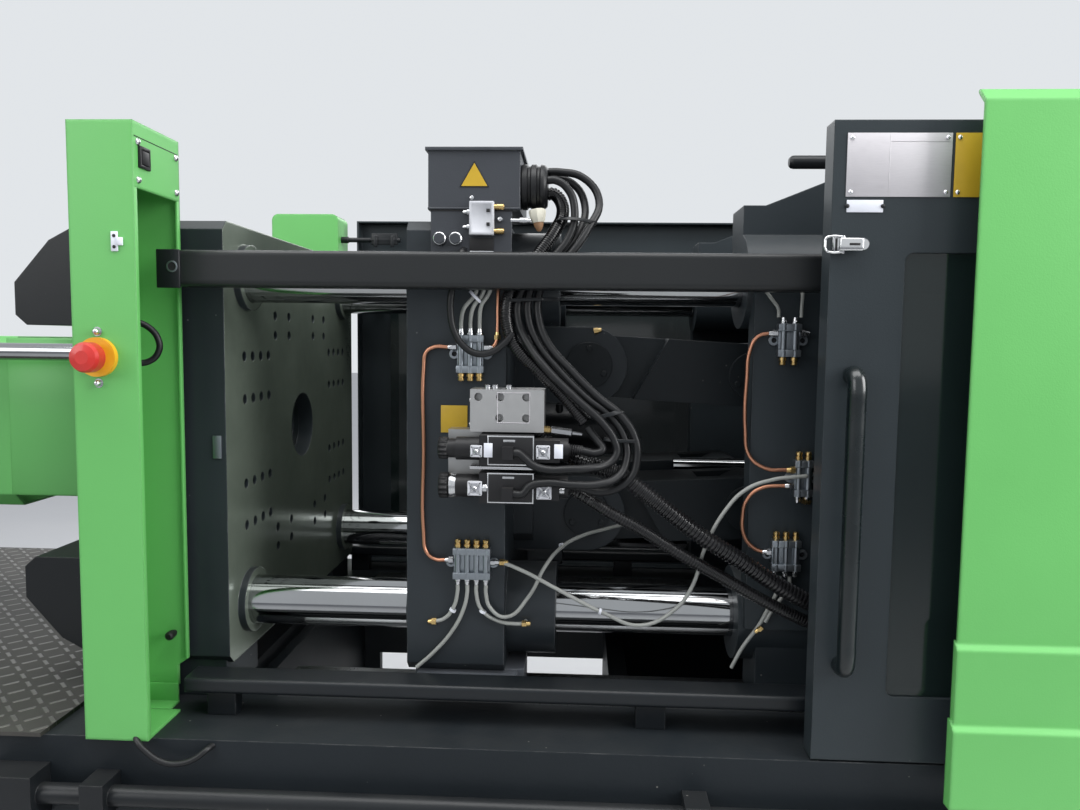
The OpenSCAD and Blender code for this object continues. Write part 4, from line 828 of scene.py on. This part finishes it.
# Tube fittings and ties
fittingSettings = {
    "nut": [(0, 5.4), (7, 5.4)],
    "collar": [(6, 4.2), (11, 3.9), (13, 3.2)],
    "nickel": {
        "moving_platen": [((362, -364, 160), toFeed), ((404, -364, 160), toTail), ((358, -364, -168), toFeed),
                          ((416, -364, -170), toTail)],
        "tail": [((841, -364, 186), toFeed), ((875, -364, 186), toTail), ((872, -364, -42), toFeed),
                 ((842, -364, -144), toFeed)],
    },
    "brass": {
        "moving_platen": [((331, -359, -268), toFeed), ((424, -361.5, 172), toTop), ((430, -364, -170), toTail),
                          ((465, -357, -268), toTail), ((572, -196, 188), (1, 0, 0.2))],
        "tail": [((874, -364, -18), toFeed), ((886, -364, -63), (1, 0, -0.3)), ((833, -359, -262), (-1, 0, -1))],
    },
    "ties": {
        "moving_platen": [((357, -361, -248), (0.6, 0, 1), 4.2), ((404, -361, -249), (0.5, 0, 1), 4.2),
                          ((391, -371, 236), (1, 0, 1), 11), ((585, -379, -238), (1, 0, -0.3), 3.6),
                          ((524, -300, -158), (1, 1, 0.2), 3.6)],
        "tail": [((846, -363, -220), (0.5, 0, 1), 6)],
    },
    "bands": [((474, -368, 232), (-0.15, 0, 1), 44, 12), ((540, -345, 350), (0.4, 0.3, 1), 32, 17),
              ((588, -398, 64), (-1, 0, 1.2), 30, 12), ((612, -405, 28), (0.1, 0, 1), 27, 12)],
}
for body in ("moving_platen", "tail"):
    for kind, finish in (("nickel", brightNickel), ("brass", brass)):
        made = []
        for start, way in fittingSettings[kind][body]:
            made.append(turnPiece(start, way, fittingSettings["nut"], 6, smooth=20))
            made.append(turnPiece(start, way, fittingSettings["collar"], 14))
        settle(made, body + kind.capitalize() + "Fittings", finish, body)
    made = [turnPiece(place, way, [(-2, r), (-2, r + 1.1), (2, r + 1.1), (2, r), (-2, r)], 16, True)
            for place, way, r in fittingSettings["ties"][body]]
    settle(made, body + "TubeTies", labelWhite, body)


# A flat band drawn tight round the hose bundle
def wrapBand(place, way, wide, deep):
    band = turnPiece(place, way, [(-2.4, 9), (-2.4, 10), (2.4, 10), (2.4, 9), (-2.4, 9)], 24, True)
    takeUp(band)
    editAll()
    bpy.ops.transform.resize(value=(wide / 10, deep / 10, 1), center_override=tuple(spot(*place)))
    bpy.ops.object.mode_set(mode="OBJECT")
    return band


onPlaten([wrapBand(*band) for band in fittingSettings["bands"]], "hoseBands", satinBlack)
print("distributors and fittings made")

# Electrical box: bare plate, hem, terminal block, plugs and sockets
boxSettings = {
    "front": -361,
    "hem": (317.6, 456.4, 365.6, 369),
    "signPlace": (387.5, -361, 411.5),
    "sign": [(0, 25.4), (0.9, 25.4)],
    "signFace": [(0.5, 22.6), (1.2, 22.6)],
    "terminalInset": [(0.0022, 0), (0.0005, -0.0007)],
    "pin": [(0, 3.9), (5, 3.9), (5.6, 4.4), (15, 4.4), (16, 3.4)],
    "stud": [(0, 4.4), (4, 4.4), (5, 3.0), (9, 3.0), (11, 1.8)],
    "button": [(0, 4.6), (5, 4.6), (7.4, 3.2), (8.2, 1.0)],
    "screw": [(0, 3.0), (2.4, 3.0), (3.2, 1.2)],
    "sidePlug": [(0, 4.0), (14, 4.0), (14, 5.6), (24, 5.6), (24, 4), (30, 4)],
    "socketRing": [(8, 7.0), (8, 9.0), (9, 9.6), (12.4, 9.6), (13, 8.8), (13, 7.0), (8, 7.0)],
    "conePlace": (481, -352, 368),
    "coneWay": (0.12, 0, -1),
    "cone": [(0, 10), (1, 12.5), (5, 13), (15, 11), (20, 9)],
    "tip": [(19, 8), (25, 7), (30, 4.5), (33, 2.5)],
    "platenLabel": ((337, -356.2, 29), (378, -355, 71)),
}
front = boxSettings["front"]
onPlaten(turnPiece(boxSettings["signPlace"], toFront, boxSettings["sign"], 3), "boxSignEdge", satinBlack)
onPlaten(turnPiece(boxSettings["signPlace"], toFront, boxSettings["signFace"], 3), "boxSign", labelYellow)
hemLeft, hemRight, hemLow, hemTop = boxSettings["hem"]
onPlaten(softBlock((hemLeft, front - 2.6, hemLow), (hemRight, front - 0.2, hemTop), 0.8), "boxHem", boxCoat)
# A dark strip under the hem: the seam's gap, partly painted shade under the hem
onPlaten(softBlock((hemLeft + 5, front - 0.8, hemLow - 2.4), (hemRight - 12, front + 1, hemLow), 0.2),
         "boxSeam", paintedRecessShade)
terminal = softBlock((381, front - 11, 327), (418, front, 377), 1.6, 3)
insetFaces(terminal, lambda face: face.normal.y < -0.9 and face.area > 0.001, boxSettings["terminalInset"])
onPlaten(terminal, "terminalBlock", terminalGrey)
onPlaten([turnPiece((417, front - 6, z), toTail, boxSettings["pin"], 14) for z in (369, 333)],
         "terminalPins", brass)
studs = [turnPiece((382, front - 6, z), toFeed, boxSettings["stud"], 14) for z in (361, 339)]
studs += [turnPiece((427, front, 351), toFront, boxSettings["button"], 14),
          turnPiece((384, front, 383), toFront, boxSettings["screw"], 12),
          softBlock((381, front - 2.4, 301.8), (417, front - 0.4, 304.4), 0.5),
          turnPiece((442, -358, 350), (1, 0.1, 0), boxSettings["sidePlug"], 14)]
onPlaten(studs, "boxStuds", brightNickel)
# Flat dark blocks for the slots: painted shade in place of real recesses
slots = [softBlock((381, front - 2.0, 305), (417, front, 324), 0.4)]
slots += [softBlock((407, front - 11.8, z - 2.5), (412, front - 10, z + 2.5), 0.4) for z in (363, 343)]
onPlaten(slots, "boxSlotShade", paintedRecessShade)
onPlaten([turnPiece((x, front + 6, 322), toFront, boxSettings["socketRing"], 24, True) for x in (336, 360)],
         "socketRings", brightNickel)
conePlace, coneWay = boxSettings["conePlace"], boxSettings["coneWay"]
onPlaten(turnPiece(conePlace, coneWay, boxSettings["cone"], 8, smooth=20), "conePlug", creamPlastic)
onPlaten(turnPiece(conePlace, coneWay, boxSettings["tip"], 12), "conePlugTip", brownPlastic)
onPlaten(softBlock(*boxSettings["platenLabel"], 0.5), "platenLabel", labelYellow)
print("box details made")

# Valves and manifold
valveSettings = {
    "front": -436,
    "axis": -413,
    "frames": [(-8, 35), (-63, -19)],
    "faces": [(-6.2, 33.2), (-61.2, -20.8)],
    "bracket": ((392, -434, -14.5), (486, -400, -10.5)),
    "sockets": [(402, 12, 17), (498, 12, 20), (400, -42, 21), (500, -45, 22)],
    "socketInset": [(0.0016, 0), (0.0004, -0.0022)],
    "nut": [(0, 6.4), (1, 7.0), (6, 7.0), (7, 6.2), (7, 4.6), (15, 4.6)],
    "flange": [(0, 14.5), (0, 18.6), (2, 19), (9, 17), (10, 14.5)],
    "plug": [(0, 3.8), (0.6, 4.6), (5.4, 4.6), (6.4, 3.4)],
    "sidePlug": [(0, 3.0), (2.6, 3.0), (3.4, 2.0)],
    "screw": [(0, 3.2), (3.0, 3.2), (3.8, 2.2)],
    "knob": [(-14, 15.6), (-13, 16.6), (-1, 16.6), (0, 15.6)],
    "knobs": [(358, 13, 0.92), (359, -42, 1.08)],
    "ridge": 0.0011,
    "reliefRibs": 6,
    "rim": ((429.5, -417.7, 51), (477.5, -416.6, 96)),
    "rimWidth": 0.0009,
    "fittingWay": (1, 0, -0.12),
    "fitting": [(9, 3.5), (11, 6.0), (40, 6.0), (42, 3.2), (56, 2.4)],
    "fittingNut": [(0, 5.4), (9, 5.4), (10, 4)],
}


# A coil socket: a square face with a star of ribs and a screw in its middle
def makeSocket(x, z, size, front):
    plate = softBlock((x - size / 2, front - 6, z - size / 2), (x + size / 2, front + 2, z + size / 2), 1.4)
    insetFaces(plate, lambda face: face.normal.y < -0.9 and face.area > 0.0001, valveSettings["socketInset"])
    ribs = []
    for angle in (45, 135):
        rib = softBlock((x - size * 0.6, front - 6, z - 1.1), (x + size * 0.6, front - 3, z + 1.1), 0.3)
        takeUp(rib)
        editAll()
        bpy.ops.transform.rotate(value=math.radians(angle), orient_axis="Y",
                                 center_override=tuple(spot(x, front - 4, z)))
        bpy.ops.object.mode_set(mode="OBJECT")
        ribs.append(rib)
    screw = turnPiece((x, front - 3, z), toFront, valveSettings["screw"], 12)
    return plate, ribs + [screw]


# A knurled knob: every second side face drawn out
def makeKnob(x, z, size, sides=28):
    axis = valveSettings["axis"]
    steps = [(along, radius * size) for along, radius in valveSettings["knob"]]
    knob = turnPiece((x, axis, z), toTail, steps, sides)
    middle = spot(x, axis, z)
    wide = [face for face in knob.data.polygons if abs(face.normal.x) < 0.1]
    order = sorted(wide, key=lambda face: math.atan2(face.center.z - middle.z, face.center.y - middle.y))
    ridges = {face.index for face in order[::2]}
    pickFaces(knob, lambda face: face.index in ridges)
    bpy.ops.mesh.extrude_faces_move(TRANSFORM_OT_shrink_fatten={"value": valveSettings["ridge"]})
    bpy.ops.object.mode_set(mode="OBJECT")
    return knob


front = valveSettings["front"]
frames = [softBlock((418, front - 0.8, low), (485, front + 4, top), 0.4) for low, top in valveSettings["frames"]]
onPlaten(frames + [softBlock(*valveSettings["bracket"], 0.6)], "valveFrames", brightNickel)
onPlaten([softBlock((419.6, front - 1.8, low), (483.4, front + 4, top), 0.5) for low, top in valveSettings["faces"]],
         "valveFaces", valveBlack)
plates, bright = [], []
for x, z, size in valveSettings["sockets"]:
    plate, star = makeSocket(x, z, size, front + 2)
    plates.append(plate)
    bright += star
bright += [turnPiece((514, -428, -45), toTail, valveSettings["nut"], 18),
           turnPiece((411, -432, -42), toTail, valveSettings["nut"], 18),
           turnPiece((361, -413, -42), toTail, valveSettings["flange"], 32),
           softBlock((441, front - 2.4, 26), (458, front - 1.4, 29.4), 0.3),
           softBlock((440, front - 2.4, -27), (457, front - 1.4, -24), 0.3)]
onPlaten(plates, "valveSockets", terminalGrey)
onPlaten(bright, "valveBrightParts", brightNickel)
onPlaten([makeKnob(*knob) for knob in valveSettings["knobs"]], "valveKnobs", valveBlack)
onPlaten([softBlock((x, front - 2.8, 3.5), (x + 12.5, front - 1, 24), 0.4) for x in (413, 514)],
         "valveLabels", labelWhite)
reliefSteps = [(0, 9.6)]
for k in range(valveSettings["reliefRibs"]):
    along, crest, root = k * 3.4, 9.6 - k * 0.5, 7.8 - k * 0.3
    reliefSteps += [(2 + along, crest), (3.2 + along, root), (4.2 + along, root)]
onPlaten([turnPiece((534, -413, z), toTail, reliefSteps, 18) for z in (13, -42)], "strainReliefs", valveBlack)
rim = softBlock(*valveSettings["rim"], 0.2)
pickFaces(rim, lambda face: abs(face.normal.y) > 0.9 and face.area > 0.001)
bpy.ops.mesh.inset(thickness=valveSettings["rimWidth"], depth=0, use_individual=True)
bpy.ops.mesh.bridge_edge_loops()
bpy.ops.object.mode_set(mode="OBJECT")
onPlaten(rim, "manifoldRim", plateSilver)
fittingWay = valveSettings["fittingWay"]
plugs = [turnPiece((x, -401, 100), toTop, valveSettings["plug"], 14) for x in (414, 425, 445)]
plugs += [turnPiece((390, -400, z), toFeed, valveSettings["sidePlug"], 12) for z in (83, 47)]
plugs.append(turnPiece((498, -406, 42), fittingWay, valveSettings["fitting"], 6, smooth=20))
onPlaten(plugs, "manifoldPlugs", brightNickel)
onPlaten(turnPiece((497, -406, 42), fittingWay, valveSettings["fittingNut"], 6, smooth=20), "manifoldNut", brass)
print("valve details made")

# Loose black cables: one over the upper distributor, two on the gate post
cableSettings = {
    "box": [(372, -361.5, 306), (371, -374, 300), (364, -382, 275), (358, -385, 245), (356, -385, 212),
            (362, -385, 183), (375, -385, 163), (396, -385, 151), (418, -384, 154), (436, -382, 167),
            (449, -381, 182)],
    "boxRadius": 5.2,
    "stop": [(-106, -466, 132), (-92, -452, 132), (-72, -441, 136), (-61, -438, 150), (-61, -438, 166),
             (-72, -441, 183), (-90, -449, 192), (-112, -470, 192), (-126, -488, 188)],
    "stopRadius": 4.6,
    "foot": [(-84, -470, -397), (-80, -490, -400), (-74, -501, -404), (-58, -506, -417), (-34, -507, -431),
             (-8, -507, -432), (14, -505, -424), (25, -500, -416), (31, -488, -413)],
    "footRadius": 4.4,
}
onPlaten(layTube(cableSettings["box"], cableSettings["boxRadius"]), "boxCable", hoseRubber)
settle([layTube(cableSettings[key], cableSettings[key + "Radius"]) for key in ("stop", "foot")],
       "postCables", hoseRubber, "bed")

# Gate post: screws, switch, striker, lips, knob; and the upper rail's flat end
postSettings = {
    "front": -500,
    "open": -58,
    "screws": [(-488, 435), (-382, 436), (-488, 384), (-382, 385)],
    "dome": [(0, 5.0), (1.4, 5.0), (3.4, 3.6), (4.4, 1.6)],
    "acorn": [(0, 6.5), (1.2, 6.5), (1.2, 4.6), (5, 4.6), (8, 3.0), (9, 1.2)],
    "knob": [(0, 4), (5, 4), (5, 6), (14, 7), (19, 6.4), (21, 4)],
    "switchInset": [(0.0032, 0), (0.0003, -0.0016)],
    "strikerHole": [(0, 2.4), (1.2, 2.4), (1.3, 1.2)],
    "contacts": [((-130, -498, 122), (-96, -462, 162), 2), ((-112, -470, 124), (-96, -452, 140), 1.4)],
}
railEndSettings = {
    "plate": ((-70, -423, 242), (-35, -419, 298), 1.2),
    "holePlace": (-46, -422, 273),
    "hole": [(0, 6.4), (1.3, 6.4)],
    "rim": [(0, 6), (0, 8.4), (1.8, 8.4), (2.2, 7.6), (2.2, 6.2), (0, 6)],
}
front, openSide = postSettings["front"], postSettings["open"]
made = [turnPiece((openSide, y, z), toTail, postSettings["dome"], 16) for y, z in postSettings["screws"]]
made += [turnPiece((-114, front, z), toFront, postSettings["acorn"], 16) for z in (177, 106)]
settle(made, "postScrews", brightNickel, "bed")
switch = softBlock((openSide - 2, -487, 401), (openSide + 3.4, -458, 431), 1.2)
insetFaces(switch, lambda face: face.normal.x > 0.9 and face.area > 0.0003, postSettings["switchInset"])
rocker = softBlock((openSide - 1, -482, 406), (openSide + 4.2, -463, 425), 1.4)
settle([switch, rocker], "rockerSwitch", valveBlack, "bed")
settle(softBlock((openSide - 1, -496, 441.2), (openSide + 0.25, -375, 442.6), 0.1), "postSeam", paintedRecessShade, "bed")
striker = [softBlock((-91, front - 2.2, 286), (-81, front, 313), 1),
           softBlock((-82, front - 4, 294), (-74, front, 305), 1)]
settle(striker, "strikerPlate", labelWhite, "bed")
# Dark discs for the striker's holes: painted shade in place of real holes
made = [turnPiece((-86, front - 1.4, z), toFront, postSettings["strikerHole"], 14) for z in (307, 292)]
settle(made, "strikerHoles", paintedRecessShade, "bed")
holePlace = railEndSettings["holePlace"]
settle(softBlock(*railEndSettings["plate"]), "railEnd", satinBlack, "bed")
# A dark disc for the rail end's hole: painted shade in place of a real hole
settle(turnPiece(holePlace, toFront, railEndSettings["hole"], 20), "railEndHole", paintedRecessShade, "bed")
settle(turnPiece(holePlace, toFront, railEndSettings["rim"], 24, True), "railEndRim", zincCast, "bed")
# Turned lips along the open side, and the sheet that closes the foot
lips = [softBlock((openSide - 3, front + 0.6, -404), (openSide + 0.2, front + 8.6, 373), 0.5),
        softBlock((openSide - 3, -380, -331), (openSide + 0.4, -373.6, 373), 0.5),
        softBlock((-147, -377, -404.8), (-75, -373.4, -373), 0.4),
        softBlock((-147, -409, -404.8), (-74.4, -373.4, -401), 0.4)]
settle(lips, "postLips", greenTrim, "bed")
settle(turnPiece((-78, -377.5, -290), toFront, postSettings["knob"], 18), "postKnob", valveBlack, "bed")
settle([softBlock(*contact) for contact in postSettings["contacts"]], "stopContacts", valveBlack, "bed")
print("post details made")

# Front gate: bare plates with rivets, round grip, toggle latch
gateSettings = {
    "front": -490,
    "rivet": [(0, 2.8), (1.0, 2.8), (1.9, 1.8), (2.2, 0.8)],
    "gateRivets": [(x, z) for x in (899, 1021, 1036, 1110) for z in (370, 440)],
    "gateDarkRivets": [(895.6, 352), (941.4, 352)],
    "gripRadius": 12.3,
    "grip": [(911, -489, 130), (911, -500, 130.5), (911, -509, 127), (911, -513.4, 116), (911, -513.6, 90),
             (911, -513.6, -68), (911, -513.6, -226), (911, -513.4, -252), (911, -509, -263), (911, -500, -266.5),
             (911, -489, -266)],
    "wireRadius": 1.6,
    "wire": [(888, -502.4, 311), (874, -502.4, 311.5), (867, -502.4, 309), (865.5, -502.4, 301),
             (867, -502.4, 293), (874, -502.4, 290.5), (888, -502.4, 291)],
    "pivot": [(0, 8.4), (6, 8.4), (7.4, 7.2)],
    "pin": [(0, 5), (9, 5)],
}
front = gateSettings["front"]


# A thin bare plate that stands proud of the gate's front
def makePlate(left, right, low, high, proud, width=0.5, back=0.0):
    return softBlock((left, front - proud, low), (right, front - back, high), width)


silver = [makePlate(893, 1027, 364, 446, 1.4), makePlate(947.4, 948.4, 366, 444, 1.7, 0.1, 1),
          makePlate(949, 1024, 434.6, 435.4, 1.7, 0.1, 1)]
settle(silver, "gateSilverPlate", plateSilver, "front_gate")
settle(makePlate(1031, 1115, 364, 446, 1.4), "gateYellowPlate", labelYellow, "front_gate")
settle(makePlate(895, 942, 344, 360, 1.4), "gateWhitePlate", labelWhite, "front_gate")
for name, finish in (("gateRivets", brightNickel), ("gateDarkRivets", satinBlack)):
    made = [turnPiece((x, front - 1.2, z), toFront, gateSettings["rivet"], 12) for x, z in gateSettings[name]]
    settle(made, name, finish, "front_gate")
grip = layTube(gateSettings["grip"], gateSettings["gripRadius"], 8)
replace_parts(settle(grip, "gateGrip", gripBlack, "front_gate"), "front_gate_handle")
latch = [layTube(gateSettings["wire"], gateSettings["wireRadius"]),
         softBlock((884, -506, 292.5), (915, -498, 309.5), 2.2, 3),
         turnPiece((914, -498, 301), toFront, gateSettings["pivot"], 20),
         softBlock((877, -501, 289), (892, -490, 313), 1.6),
         turnPiece((904, -490, 302), toFront, gateSettings["pin"], 16)]
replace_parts(settle(latch, "toggleLatch", latchChrome, "gate_latch"), "gate_latch")
# Dark blocks for the latch's slots: painted shade in place of real slots
slots = [softBlock((896, -506.6, 299.4), (910, -505.4, 302.6), 0.4),
         softBlock((879, -501.8, 293), (882, -500.2, 309), 0.4)]
settle(slots, "latchSlot", paintedRecessShade, "gate_latch")
print("gate details made")

# Far side, tail and guard: rod on the back post, bar over the tail platen, tubes under the tail distributors,
# flat cover at the front end of the barrel guard
farSettings = {
    "backRod": [(0, 7), (0.5, 8), (20, 8), (20, 6), (150, 6), (151, 5)],
    "tailRod": [(0, 7), (3, 10), (8, 11), (150, 11), (151, 9)],
    "tubes": [
        ([(856.7, -364, -181), (856.7, -364, -192), (852, -363, -210), (842, -361, -232), (828, -358, -262),
          (806, -356, -296), (790, -354, -330)], 3),
        ([(871.3, -364, -181), (871, -364, -194), (862, -364, -212), (850, -362, -230), (838, -360, -254)], 3),
        ([(842, -364, 210), (841, -364, 222), (832, -362, 236), (822, -358, 250)], 2.6),
        ([(875, -364, 210), (875, -364, 224), (876, -363, 240), (876, -358, 256)], 2.6),
    ],
    "cover": [((-474, -180, -118), (-325, -176.2, 166)), ((-474, -177, 160), (-325, -150, 166))],
}
backRod = [turnPiece((-52, 450, 416), toTail, farSettings["backRod"], 16),
           softBlock((27, 444, 404), (92, 450, 432)), softBlock((34, 438, 398), (42, 446, 426)),
           softBlock((76, 438, 398), (84, 446, 426))]
settle(backRod, "backPostRod", satinBlack, "bed")
tailBar = [turnPiece((889, -200, 470), toTail, farSettings["tailRod"], 24)]
tailBar += [softBlock((x, -206, 400), (x + 12, -194, 466)) for x in (962, 1016)]
settle(tailBar, "tailBar", satinBlack, "tail")
settle([layTube(route, radius) for route, radius in farSettings["tubes"]], "tailNylonTubes", nylon, "tail")
settle(softBlock((-21, -357.4, -18), (-7, -355, 18), 0.8), "platenSidePlate", zincCast, "bed")
settle([softBlock(low, high) for low, high in farSettings["cover"]], "guardCover", greenCoat, "carriage")
print("far side details made")


# Floor, backdrop light and lamps
floorSettings = {
    "size": 60,
    "cloudScale": 1.3,
    "tones": ((0.50, 0.51, 0.52), (0.58, 0.58, 0.58)),
    "rough": 0.75,
    "glow": (0.80, 0.82, 0.85, 1),
    "glowStrength": 0.15,
}
roomSettings = {
    "seen": ((0.80, 0.83, 0.86, 1), 0.95),
    "lit": ((0.86, 0.90, 1.0, 1), 0.42),
}


def makeFloor(settings):
    dropPick()
    bpy.ops.mesh.primitive_plane_add(size=settings["size"], location=(0, 0, 0))
    floor = bpy.context.object
    floor.name = "floor"
    finish, tree, shader = newFinish("paleFloor")
    cloud = noiseNode(tree, objectPlace(tree), settings["cloudScale"], 4.0)
    tree.links.new(mixColour(tree, cloud, *settings["tones"]), shader.inputs["Base Color"])
    shader.inputs["Roughness"].default_value = settings["rough"]
    shader.inputs["Emission Color"].default_value = settings["glow"]
    seen = addNode(tree, "ShaderNodeLightPath").outputs["Is Camera Ray"]
    tree.links.new(times(tree, seen, settings["glowStrength"]), shader.inputs["Emission Strength"])
    floor.data.materials.append(finish)


# The camera and mirrored rays see a pale room; the rest is lit by a cooler, dimmer one
def makeWorld(settings):
    world = bpy.data.worlds.new("paleRoom")
    bpy.context.scene.world = world
    world.use_nodes = True
    tree = world.node_tree
    seen = tree.nodes["Background"]
    lit = addNode(tree, "ShaderNodeBackground")
    for node, key in ((seen, "seen"), (lit, "lit")):
        node.inputs["Color"].default_value, node.inputs["Strength"].default_value = settings[key]
    path = addNode(tree, "ShaderNodeLightPath")
    plain = mathNode(tree, "MAXIMUM", path.outputs["Is Camera Ray"], path.outputs["Is Transmission Ray"])
    plain = mathNode(tree, "MAXIMUM", plain, path.outputs["Is Glossy Ray"])
    mix = addNode(tree, "ShaderNodeMixShader")
    tree.links.new(plain, mix.inputs["Fac"])
    tree.links.new(lit.outputs[0], mix.inputs[1])
    tree.links.new(seen.outputs[0], mix.inputs[2])
    tree.links.new(mix.outputs[0], tree.nodes["World Output"].inputs["Surface"])


lamps = [
    {"name": "roofLight", "place": (0.6, -1.2, 4.6), "aim": (0.8, 0.0, 1.2), "size": (5.0, 2.2), "power": 165},
    {"name": "leftLight", "place": (-2.6, -3.2, 2.9), "aim": (0.6, 0.0, 1.2), "size": (2.2, 2.2), "power": 55},
    {"name": "rightLight", "place": (4.4, -1.7, 2.6), "aim": (0.6, -0.3, 1.3), "size": (2.0, 2.4), "power": 150},
    {"name": "backLight", "place": (0.4, 3.6, 3.6), "aim": (0.6, 0.0, 1.1), "size": (5.0, 1.6), "power": 75},
]


def makeLamp(settings):
    dropPick()
    start, aim = Vector(settings["place"]), Vector(settings["aim"])
    bpy.ops.object.light_add(type="AREA", location=start)
    lamp = bpy.context.object
    lamp.name = settings["name"]
    lamp.rotation_euler = (aim - start).to_track_quat("-Z", "Y").to_euler()
    lamp.data.shape = "RECTANGLE"
    lamp.data.size, lamp.data.size_y = settings["size"]
    lamp.data.energy = settings["power"]


makeFloor(floorSettings)
makeWorld(roomSettings)
for settings in lamps:
    makeLamp(settings)
print("room lit")
